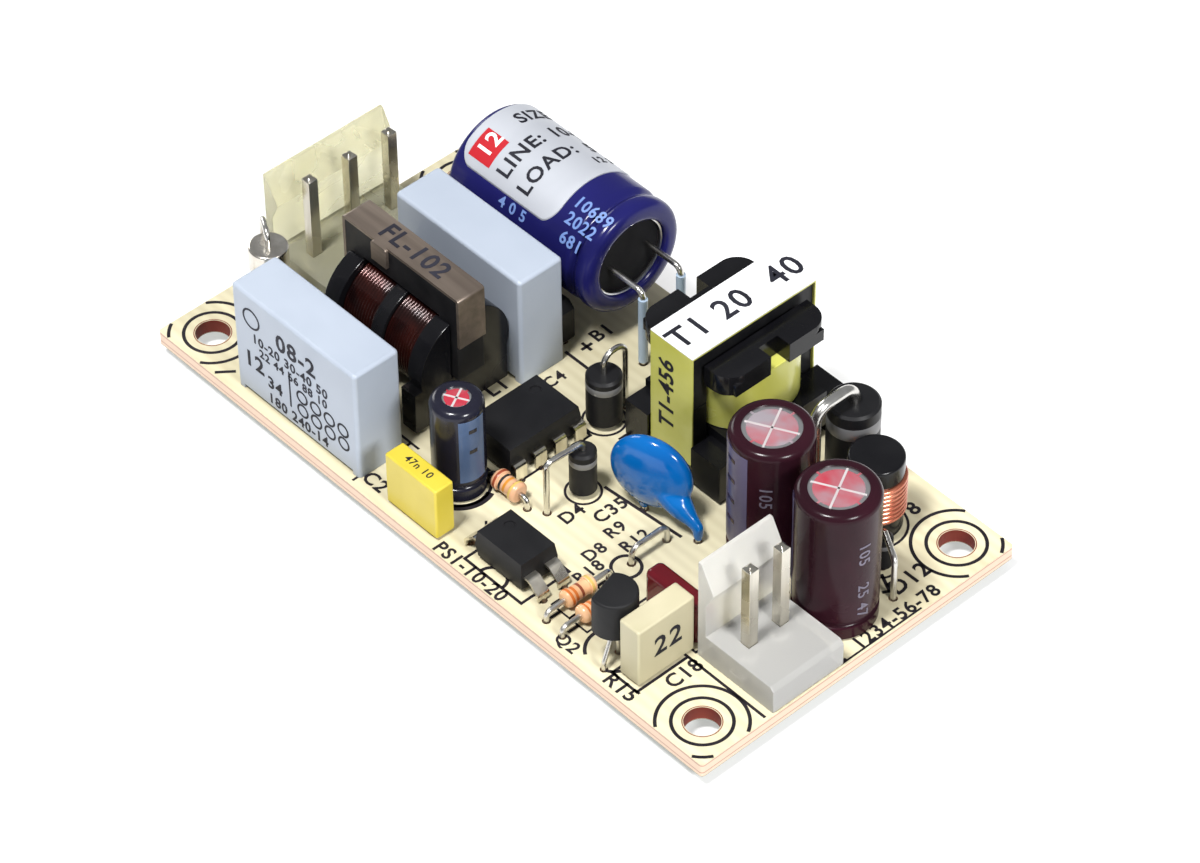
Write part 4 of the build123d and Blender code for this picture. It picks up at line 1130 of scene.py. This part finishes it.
@dataclass
class MainsCapacitors(SubAssembly):
    """The two boxed capacitors across the mains."""

    front_y: float = -19.0
    dressed = (
        ("x_capacitor_front_case", Finishes.case, "grey_box", 0.06),
        ("x_capacitor_rear_case", Finishes.case, "grey_box", 0.06),
    )
    wires = ("x_capacitor_leads",)

    def details(self) -> None:
        """Print plain figures and marks on the front of the near case."""
        ink = Sheet("mains_capacitor_print", Finishes.case_ink, "grey_box")
        for text, height, x, z in (
            ("08-2", 2.1, -18.4, 11.6), ("10-20 30-40 50", 1.15, -19.4, 9.6), ("12", 2.0, -24.9, 6.3),
            ("22 44 66 88 10", 1.05, -19.0, 8.2), ("34", 1.5, -21.9, 5.2), ("180 240-14", 1.25, -18.6, 3.1),
        ):
            ink.text(text, height, Face.FRONT, (x, self.front_y - INK / 2, z))
        rounds = [(-24.9, 12.0, 1.15)]
        rounds += [(-17.8 + 2.0 * column, 6.6 - 1.75 * row, 0.72) for column in range(4) for row in range(2)]
        marks = [strip(arc((x, z), radius, 0, 360, 20), 0.22) for x, z, radius in rounds]
        for mark in (*marks, strip([(-19.6, 4.2), (-19.6, 8.8)], 0.2)):
            ink.stamp(mark, Matrix.Translation((0, self.front_y, 0)) @ turned(90, "X"))
        ink.publish()


@dataclass
class Choke(SubAssembly):
    """The mains filter choke: windings on a bobbin, closed core and its strip."""

    axis_z: float = 8.1
    axis_y: float = -4.85
    turns: int = 12
    wire_r: float = 4.9
    core_r: float = 2.8
    core_top: float = 17.05
    dressed = (
        ("choke_core", Finishes.ferrite, "ferrite", 0.08),
        ("choke_bobbin", Finishes.bobbin, "bobbin_black", 0.12),
        ("choke_clip", Finishes.strip, "spring_steel", 0.05),
    )
    wires = ("choke_pins",)

    def details(self) -> None:
        """Wind the two sections and print the strip."""
        coil = bmesh.new()
        for start, end in ((-22.68, -18.32), (-16.68, -12.32)):
            outline = wound(start, end, self.turns, self.wire_r, self.core_r)
            line = [(along, self.axis_y, self.axis_z + reach) for along, reach in outline]
            merge(coil, spun([*line, line[0]], (0, self.axis_y, self.axis_z), (1, 0, 0), 56))
        publish("choke_coils", coil, Finishes.dark_copper, "enamelled_copper", ("choke_windings",), angle=80)
        label("choke_strip_print", "spring_steel", "FL-102", 2.1, Face.TOP_ALONG_X,
              (-17.2, self.axis_y, self.core_top + INK / 2), 0.03)


@dataclass
class BulkCapacitor(SubAssembly):
    """The large capacitor lying along X."""

    axis_y: float = 13.95
    axis_z: float = 11.05
    radius: float = 6.25
    label_t: float = 0.12
    mouth_x: float = -7.1
    length: float = 20.3
    steps: int = 72
    dressed = (
        ("bulk_capacitor_bung", Finishes.rubber, "bung_rubber", 0.3),
        ("bulk_capacitor_lead_sleeves", Finishes.tube, "lead_tube"),
        ("bulk_capacitor_label", Finishes.silver, "silver_label"),
    )
    wires = ("bulk_capacitor_leads",)

    def wrap(self, lift: float) -> Bend:
        """Bend work round the sleeve: its X runs round the top towards +Y, its Y towards -X.

        Args:
            lift: Height over the sleeve.

        Returns:
            The placing function.
        """

        def place(around: float, along: float, up: float) -> Vector:
            """Give the bent place of one point."""
            turn = around / self.radius
            reach = self.radius + lift + up
            y = self.axis_y + reach * math.sin(turn)
            return Vector((-along, y, self.axis_z + reach * math.cos(turn)))

        return place

    def marks(
        self, name: str, finish: Finish, slot: str, lift: float, rows: Sequence[tuple],
        lengthwise: bool = False,
    ) -> None:
        """Print rows of plain characters on the sleeve or its label.

        Args:
            name: The piece's name.
            finish: The ink.
            slot: The material slot.
            lift: Height over the sleeve.
            rows: Text, height, and where it starts: place round the sleeve and X.
            lengthwise: Whether the rows run along the sleeve instead of round it.
        """
        sheet = Sheet(name, finish, slot)
        for text, height, around, x in rows:
            work = lettering(text, height, BOLD, "LEFT")
            if lengthwise:
                bmesh.ops.rotate(work, cent=(0, 0, 0), matrix=turned(-90, "Z").to_3x3(), verts=work.verts)
            shift(work, (around, -x, 0))
            sheet.wrap(work, self.wrap(lift))
        sheet.publish()

    def details(self) -> None:
        """Shrink the sleeve on, draw the can in it, and print the label and the sleeve."""
        self.shell()
        self.vent_cross()
        on_label = self.label_t + INK / 2
        self.marks("bulk_label_print", Finishes.case_ink, "silver_label", on_label, (
            ("SIZE 10", 1.6, 0.6, -24.3), ("LINE: 10-20", 1.7, -5.0, -20.8),
            ("LOAD:  5  10", 1.7, -5.2, -17.7), ("12 3", 1.1, 2.4, -15.2),
        ))
        patch = Sheet("bulk_label_patch", Finishes.red_patch, "silver_label")
        patch.wrap(strip([(-5.1, 24.1), (-1.9, 24.1)], 3.0), self.wrap(self.label_t))
        patch.publish()
        self.marks("bulk_patch_print", Finishes.white_paper, "silver_label", on_label + INK, (
            ("12", 1.8, -4.5, -24.1),
        ))
        self.marks("bulk_sleeve_print", Finishes.navy_ink, "blue_sleeve", INK / 2, (
            ("10689", 1.3, -2.6, -12.3), ("2022", 1.3, -4.4, -12.0), ("681", 1.3, -6.3, -11.6),
            ("4 0 5", 1.2, -7.1, -20.0),
        ), lengthwise=True)

    def turned_form(self, profile: Iterable[Point]) -> BMesh:
        """Spin a profile, each point a place from the mouth and a reach, round the can's axis."""
        points = [(self.mouth_x - along, self.axis_y, self.axis_z + reach) for along, reach in profile]
        return spun(points, (self.mouth_x, self.axis_y, self.axis_z), (1, 0, 0), self.steps)

    def shell(self) -> None:
        """Shrink the sleeve round the can, with a soft groove and a rolled mouth."""
        far, groove, depth, edge, thick = self.length, 2.2, 0.42, 0.9, 0.08
        line = [(0.42, 4.3), (0.02, 4.32), (-0.12, 4.5), (-0.15, 4.8), (-0.15, 5.25), (-0.08, 5.65),
                (0.12, 5.98), (0.42, 6.18), (0.8, self.radius)]
        line += [
            (groove + reach, self.radius - depth * math.cos(reach * math.pi / 1.8) ** 2)
            for reach in (-0.9, -0.7, -0.5, -0.3, -0.1, 0.1, 0.3, 0.5, 0.7, 0.9)
        ]
        line += [
            (far - edge + edge * math.sin(math.radians(turn)),
             self.radius - edge + edge * math.cos(math.radians(turn)))
            for turn in range(0, 91, 15)
        ]
        line += [(far, 5.1), (far - 0.3, 5.05)]
        skin = [
            (along + (thick if along < 1.2 else -thick if along > far - edge else 0.0), reach - thick)
            for along, reach in reversed(line[3:-2])
        ]
        inside = [
            (max(along, 0.1) if along < groove else along, reach - 2 * thick) for along, reach in line[3:-2]
        ]
        can = [(far - 0.6, 0.0), (far - 0.6, 4.15), (0.5, 4.15), (0.5, 4.25), *inside,
               (far - 0.22, 5.2), (far - 0.24, 0.0)]
        publish("bulk_can_drawn", self.turned_form(can), Finishes.aluminium, "capacitor_aluminium",
                ("bulk_capacitor_can",), angle=60)
        publish("bulk_sleeve_shrunk", self.turned_form([*line, *skin, (0.42, 4.45), line[0]]), Finishes.navy,
                "blue_sleeve", ("bulk_capacitor_sleeve",), angle=60)

    def vent_cross(self) -> None:
        """Press the cross into the can's far end."""
        cross = Sheet("bulk_vent_cross", Finishes.score, "capacitor_aluminium")
        middle = Matrix.Translation((self.mouth_x - self.length + 0.235, self.axis_y, self.axis_z))
        for turn in (20, 110):
            flat = turned(turn, "X") @ turned(-90, "Y") @ turned(90, "Z")
            cross.stamp(strip([(-4.2, 0), (4.2, 0)], 0.3), middle @ flat)
        cross.publish()


@dataclass(frozen=True)
class Can:
    """One capacitor standing in its sleeve. Directions are in degrees from +X.

    Attributes:
        name: Start of its nodes' names.
        x: Place of its axis.
        y: Place of its axis.
        radius: Radius of its sleeve.
        top: Height of its rim.
        stripe_at: Direction of its stripe.
        slot: The sleeve's material slot.
        sleeve: The sleeve's finish.
        stripe_finish: The stripe's finish.
        figures_at: Direction of the print on its side.
        figures: The rows of that print, from the top.
    """

    name: str
    x: float
    y: float
    radius: float
    top: float
    stripe_at: float
    slot: str
    sleeve: Finish
    stripe_finish: Finish
    figures_at: float = 0.0
    figures: tuple[str, ...] = ()
    figures_top: ClassVar[float] = 12.4
    figures_pitch: ClassVar[float] = 6.0
    stripe_degrees: ClassVar[float] = 62
    mark_pitch: ClassVar[float] = 2.6
    mark_w: ClassVar[float] = 0.45
    rim: ClassVar[float] = 1.2

    def wrap(self, middle: float, lift: float) -> Bend:
        """Bend work round the can: its X runs round it and its Y runs up.

        Args:
            middle: Direction of the work's middle.
            lift: Height over the sleeve.

        Returns:
            The placing function.
        """

        def place(around: float, up: float, out: float) -> Vector:
            """Give the bent place of one point."""
            turn = math.radians(middle) + around / self.radius
            reach = self.radius + lift + out
            return Vector((self.x, self.y, 0)) + Vector((reach * math.cos(turn), reach * math.sin(turn), up))

        return place

    def stripe(self) -> BMesh:
        """Cut the polarity stripe down one side.

        Returns:
            The closed mesh.
        """
        low, high = SEAT + 2.35, self.top - 1.0
        outer, inner = self.radius + INK, self.radius - 0.02
        way = polar(self.stripe_at - self.stripe_degrees / 2)
        loop = [
            tuple(Vector((self.x, self.y, 0)) + way * reach + Vector((0, 0, height)))
            for reach, height in ((outer, low), (outer, high), (inner, high), (inner, low))
        ]
        return spun([*loop, loop[0]], (self.x, self.y, 0), UP, 14, self.stripe_degrees)

    def build(self) -> None:
        """Dress the can and sleeve, and add the stripe, its minus marks, the vent and the print."""
        dress(f"{self.name}_can", Finishes.aluminium, "capacitor_aluminium")
        dress(f"{self.name}_sleeve", self.sleeve, self.slot)
        publish(f"{self.name}_stripe", self.stripe(), self.stripe_finish, self.slot)
        marks = Sheet(f"{self.name}_minus_marks", self.sleeve, self.slot)
        half = 0.16 * self.radius
        for k in range(int((self.top - SEAT - 4) / self.mark_pitch)):
            mark = strip([(-half, 0), (half, 0)], self.mark_w)
            shift(mark, (0, self.top - 2.4 - self.mark_pitch * k, 0))
            marks.wrap(mark, self.wrap(self.stripe_at, INK), 0.4)
        marks.publish()
        self.vent(self.radius - self.rim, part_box(f"{self.name}_can")[1][2] / MM + 0.01)
        if self.figures:
            self.side_print()

    def side_print(self) -> None:
        """Print the pale figures that run down the side."""
        sheet = Sheet(f"sleeve_figures_{round(self.x)}", Finishes.plum_ink, self.slot)
        bend = self.wrap(self.figures_at, INK / 2)
        for row, figures in enumerate(self.figures):
            work = lettering(figures, 1.25, 0.01)
            start = self.figures_top - self.figures_pitch * row
            sheet.wrap(work, lambda along, around, out: bend(around, start - along, out), 0.4)
        sheet.publish()

    def vent(self, radius: float, top: float) -> None:
        """Add the lacquered vent top and its pressed cross.

        Args:
            radius: Radius of the open top.
            top: Its height.
        """
        low = top - 0.06
        rim = ((0, top), (radius * 0.8, top), (radius, low), (0, low))
        face = spun([(self.x + reach, self.y, height) for reach, height in rim], (self.x, self.y, 0), UP)
        publish(f"{self.name}_vent", face, Finishes.vent, "capacitor_aluminium")
        cross = Sheet(f"{self.name}_vent_cross", Finishes.score, "capacitor_aluminium")
        for turn in (28, 118):
            way = polar(turn) * radius * 0.92
            line = strip([(self.x - way.x, self.y - way.y), (self.x + way.x, self.y + way.y)], 0.22)
            cross.stamp(line, Matrix.Translation((0, 0, top)))
        cross.publish()


@dataclass
class StandingCapacitors(SubAssembly):
    """The three capacitors standing in sleeves."""

    dressed = (("radial_capacitor_bungs", Finishes.rubber, "bung_rubber"),)
    wires = ("small_capacitor_leads",)
    small: ClassVar = ("black_sleeve", Finishes.black_sleeve, Finishes.stripe_blue)
    large: ClassVar = ("brown_sleeve", Finishes.plum, Finishes.stripe_violet)
    cans: ClassVar = (
        Can("bias_capacitor", -2.75, -12.45, 2.65, 13.2, -8.0, *small),
        Can("output_capacitor_inner", 23.4, 3.1, 4.1, 17.7, -108.0, *large, -52.0, ("105",)),
        Can("output_capacitor_outer", 33.1, 2.1, 4.1, 17.7, 205.0, *large, -8.0, ("105", "25 47")),
    )

    def details(self) -> None:
        """Build every can."""
        for can in self.cans:
            can.build()


@dataclass
class FilmCapacitors(SubAssembly):
    """Yellow, beige and red film capacitors, with plain values on two of them."""

    dressed = (
        ("yellow_film_capacitor", Finishes.yellow, "yellow_box"),
        ("beige_film_capacitor", Finishes.beige, "beige_box"),
        ("maroon_film_capacitor", Finishes.red_dip, "maroon_dip"),
    )

    def details(self) -> None:
        """Print the values."""
        label("film_capacitor_print", "yellow_box", "47n 10", 0.85, Face.TOP_ALONG_X,
              (-2.1, -17.9, 8.1 + INK / 2), 0.01)
        label("beige_capacitor_print", "beige_box", "22", 2.4, Face.RIGHT, (28.0 + INK / 2, -14.2, 5.4), 0.02)


@dataclass
class DiscCapacitor(SubAssembly):
    """The blue dipped disc, melted with its tail into one form."""

    centre: tuple = (12.3, -1.6, 6.9)
    radius: float = 4.35
    half: float = 1.65
    turn: float = 20.0
    elbow: tuple = (18.1, -1.1, 3.3)
    foot: tuple = (11.6, -1.9, 3.4)
    voxel: float = 0.16

    def balls(self) -> list[tuple[Vector, float]]:
        """Give the places and radii of the balls that form the tail and the foot."""
        elbow = Vector(self.elbow)
        root = Vector(self.centre) + polar(self.turn) * 0.3 * self.radius - Vector((0, 0, self.radius * 0.3))
        tail = [(root, 1.6), (root.lerp(elbow, 0.45), 1.35), (root.lerp(elbow, 0.78), 0.78), (elbow, 0.6),
                (elbow - Vector((-0.02, 0, 1.15)), 0.52)]
        steps = 10
        found = []
        for (here, radius), (there, far) in zip(tail, tail[1:]):
            for k in range(steps + 1):
                found.append((here.lerp(there, k / steps), radius + (far - radius) * k / steps))
        return found + [(Vector(self.foot) - Vector((0, 0, 0.32 * k)), 0.75 - 0.06 * k) for k in range(4)]

    def details(self) -> None:
        """Melt the lens and the balls into one dipped form."""
        way = polar(self.turn)
        axis = Vector((-way.y, way.x, 0))
        lens = [
            Vector(self.centre) + axis * self.half * math.cos(k * math.pi / 16)
            + Vector((0, 0, self.radius * math.sin(k * math.pi / 16)))
            for k in range(17)
        ]
        bm = spun(lens, self.centre, axis)
        for place, radius in self.balls():
            ball = bmesh.new()
            bmesh.ops.create_icosphere(ball, subdivisions=2, radius=radius)
            shift(ball, place)
            merge(bm, ball)
        piece = publish("disc_capacitor_dip", bm, Finishes.blue_dip, "blue_dip", ("disc_capacitor_body",))
        melt = piece.modifiers.new("melt", "REMESH")
        melt.mode = "VOXEL"
        melt.voxel_size = self.voxel * MM
        melt.use_smooth_shade = True
        soft = piece.modifiers.new("soften", "SMOOTH")
        soft.factor = 0.6
        soft.iterations = 14


@dataclass
class Chips(SubAssembly):
    """Controller, optocoupler, bridge and transistor: moulded bodies and their pins."""

    dressed = (
        ("controller_ic_body", Finishes.epoxy, "black_epoxy", 0.06, 25),
        ("controller_ic_pins", Finishes.pin, "tinned_pin"),
        ("optocoupler_body", Finishes.epoxy, "black_epoxy", 0.06, 25),
        ("optocoupler_pins", Finishes.pin, "tinned_pin"),
        ("bridge_rectifier_body", Finishes.epoxy, "black_epoxy"),
        ("transistor_body", Finishes.epoxy, "black_epoxy", 0.08),
    )
    wires = ("bridge_rectifier_leads", "transistor_leads")


@dataclass
class Diodes(SubAssembly):
    """The output rectifier and the three small diodes."""

    dressed = (
        ("rectifier_diode_body", Finishes.epoxy, "diode_epoxy"),
        ("small_diode_bodies", Finishes.epoxy, "diode_epoxy"),
    )
    wires = ("rectifier_diode_leads", "small_diode_leads")

    def details(self) -> None:
        """Put a silver band round each barrel."""
        bm = bmesh.new()
        for x, y, radius, low, high in (
            (22.3, 14.9, 2.6, 9.4, 10.9), (5.95, -4.55, 1.35, 5.7, 6.4), (0.25, 3.4, 1.8, 6.3, 7.1),
            (32.3, 9.1, 0.95, 4.7, 5.2),
        ):
            inner, outer = radius + 0.005, radius + 0.02
            profile = ((inner, low), (outer, low + 0.03), (outer, high - 0.03), (inner, high))
            merge(bm, ring(profile, x, y, 40))
        publish("diode_bands", bm, Finishes.silver_band, "diode_epoxy")


@dataclass
class Resistors(SubAssembly):
    """Three resistors lying down with their colour bands, and the wire link."""

    dressed = (
        ("brown_resistor_body", Finishes.brown_resin, "brown_resin"),
        ("orange_resistor_bodies", Finishes.tan_resin, "tan_resin"),
    )
    wires = ("resistor_leads", "jumper_wire")


@dataclass
class DrumChoke(SubAssembly):
    """The drum choke of the output filter."""

    x: float = 27.8
    y: float = 12.45
    low: float = 4.3
    high: float = 8.7
    radius: float = 3.05
    core_r: float = 1.5
    turns: int = 8
    dressed = (("drum_core", Finishes.bobbin, "ferrite", 0.25),)
    wires = ("drum_pins",)

    def details(self) -> None:
        """Wind the reel."""
        outline = wound(self.low, self.high, self.turns, self.radius, self.core_r)
        coil = ring([(reach, along) for along, reach in outline], self.x, self.y, 40)
        publish("drum_coil", coil, Finishes.copper, "enamelled_copper", ("drum_winding",), angle=80)


@dataclass
class Transformer(SubAssembly):
    """The upright transformer."""

    x: float = 9.25
    dressed = (
        ("transformer_core", Finishes.ferrite, "ferrite", 0.1),
        ("transformer_bobbin", Finishes.bobbin, "bobbin_black", 0.45),
        ("transformer_winding", Finishes.tape, "yellow_tape", 0.25),
        ("transformer_core_tape", Finishes.tape, "yellow_tape"),
        ("transformer_label", Finishes.white_paper, "white_label"),
    )
    wires = ("transformer_pins",)

    def details(self) -> None:
        """Print the label and the tape."""
        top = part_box("transformer_label")[1][2] / MM
        label("transformer_label_print", "white_label", "T1 20  40", 2.7, Face.TOP_ALONG_Y,
              (self.x, 12.1, top + INK / 2), 0.02)
        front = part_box("transformer_core_tape")[0][1] / MM
        label("transformer_tape_print", "yellow_tape", "T1-456", 2.0, Face.UPWARDS,
              (self.x - 0.6, front - INK / 2, 10.9), 0.03)


# The studio


@dataclass
class Studio:
    """Floor, light and camera."""

    azimuth: float = 47.95
    elevation: float = 44.83
    roll: float = -0.72
    distance: float = 478.4
    shift_x: float = 2.35
    shift_y: float = 0.43
    focal: float = 149.94
    film: float = 36.0
    width: float = 1200.0
    height: float = 863.0
    centre_u: float = 601.1
    centre_v: float = 431.1
    floor_size: float = 3.0
    sky_color: tuple = (0.95, 0.97, 1.0, 1.0)
    sky_strength: float = 0.30
    # Each lamp's name, place in metres, width in metres and power in watts.
    lamps: ClassVar = (
        ("key", (0.02, -0.30, 0.75), 0.16, 8.4), ("side", (0.62, -0.05, 0.48), 0.20, 5.5),
        ("left", (-0.70, 0.10, 0.35), 0.30, 1.6),
    )

    def camera(self) -> None:
        """Stand the camera where the photograph was taken from."""
        a, e, roll = (math.radians(v) for v in (self.azimuth, self.elevation, self.roll))
        back = Vector((math.sin(a) * math.cos(e), -math.cos(a) * math.cos(e), math.sin(e)))
        right = Vector((math.cos(a), math.sin(a), 0))
        up = back.cross(right)
        turned_right = right * math.cos(roll) + up * math.sin(roll)
        turned_up = up * math.cos(roll) - right * math.sin(roll)
        data = bpy.data.cameras.new("camera")
        data.lens = self.focal
        data.sensor_width = self.film
        data.sensor_fit = "HORIZONTAL"
        data.shift_x = -(self.centre_u - self.width / 2) / self.width
        data.shift_y = (self.centre_v - self.height / 2) / self.width
        data.clip_start, data.clip_end = 0.01, 20.0
        camera = stand("camera", data)
        place = turned_right * self.shift_x + turned_up * self.shift_y + back * self.distance
        turn = Matrix((turned_right, turned_up, back)).transposed()
        camera.matrix_world = Matrix.Translation((place + Vector((0, 0, BOARD_TOP))) * MM) @ turn.to_4x4()
        bpy.context.scene.camera = camera

    def floor(self, level: float) -> None:
        """Lay the pale floor.

        Args:
            level: Its height in metres.
        """
        bm = bmesh.new()
        bmesh.ops.create_grid(bm, x_segments=1, y_segments=1, size=self.floor_size)
        shift(bm, (0, 0, level))
        mesh = bpy.data.meshes.new("floor")
        bm.to_mesh(mesh)
        bm.free()
        mesh.materials.append(Finishes.floor.material())
        stand("floor", mesh)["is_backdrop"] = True

    def lamp(self, name: str, place: Point, size: float, power: float) -> None:
        """Hang one soft lamp that looks at the middle of the board.

        Args:
            name: Its name.
            place: Where it hangs, in metres.
            size: Its width.
            power: Its power in watts.
        """
        data = bpy.data.lights.new(name, "AREA")
        data.shape = "DISK"
        data.size = size
        data.energy = power
        lamp = stand(name, data)
        lamp.location = place
        lamp.rotation_euler = Vector(place).to_track_quat("Z", "Y").to_euler()

    def build(self) -> None:
        """Set the stage."""
        self.camera()
        self.floor(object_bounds()[0].z)
        for row in self.lamps:
            self.lamp(*row)
        world = bpy.data.worlds.new("studio")
        bpy.context.scene.world = world
        world.use_nodes = True
        sky = world.node_tree.nodes["Background"]
        sky.inputs["Color"].default_value = self.sky_color
        sky.inputs["Strength"].default_value = self.sky_strength
        bpy.context.scene.view_settings.view_transform = "Standard"


FRAME: dict = {}


def main() -> None:
    """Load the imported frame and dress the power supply, one sub-assembly after the other."""
    logging.basicConfig(level=logging.INFO, format="%(name)s: %(message)s")
    FRAME.update(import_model())
    Studio().build()
    for part in (
        Board(), Headers(), Fuse(), MainsCapacitors(), Choke(), BulkCapacitor(), StandingCapacitors(),
        FilmCapacitors(), DiscCapacitor(), Chips(), Diodes(), Resistors(), DrumChoke(), Transformer(),
    ):
        LOG.info("building %s", type(part).__name__)
        part.build()


if __name__ == "__main__":
    main()
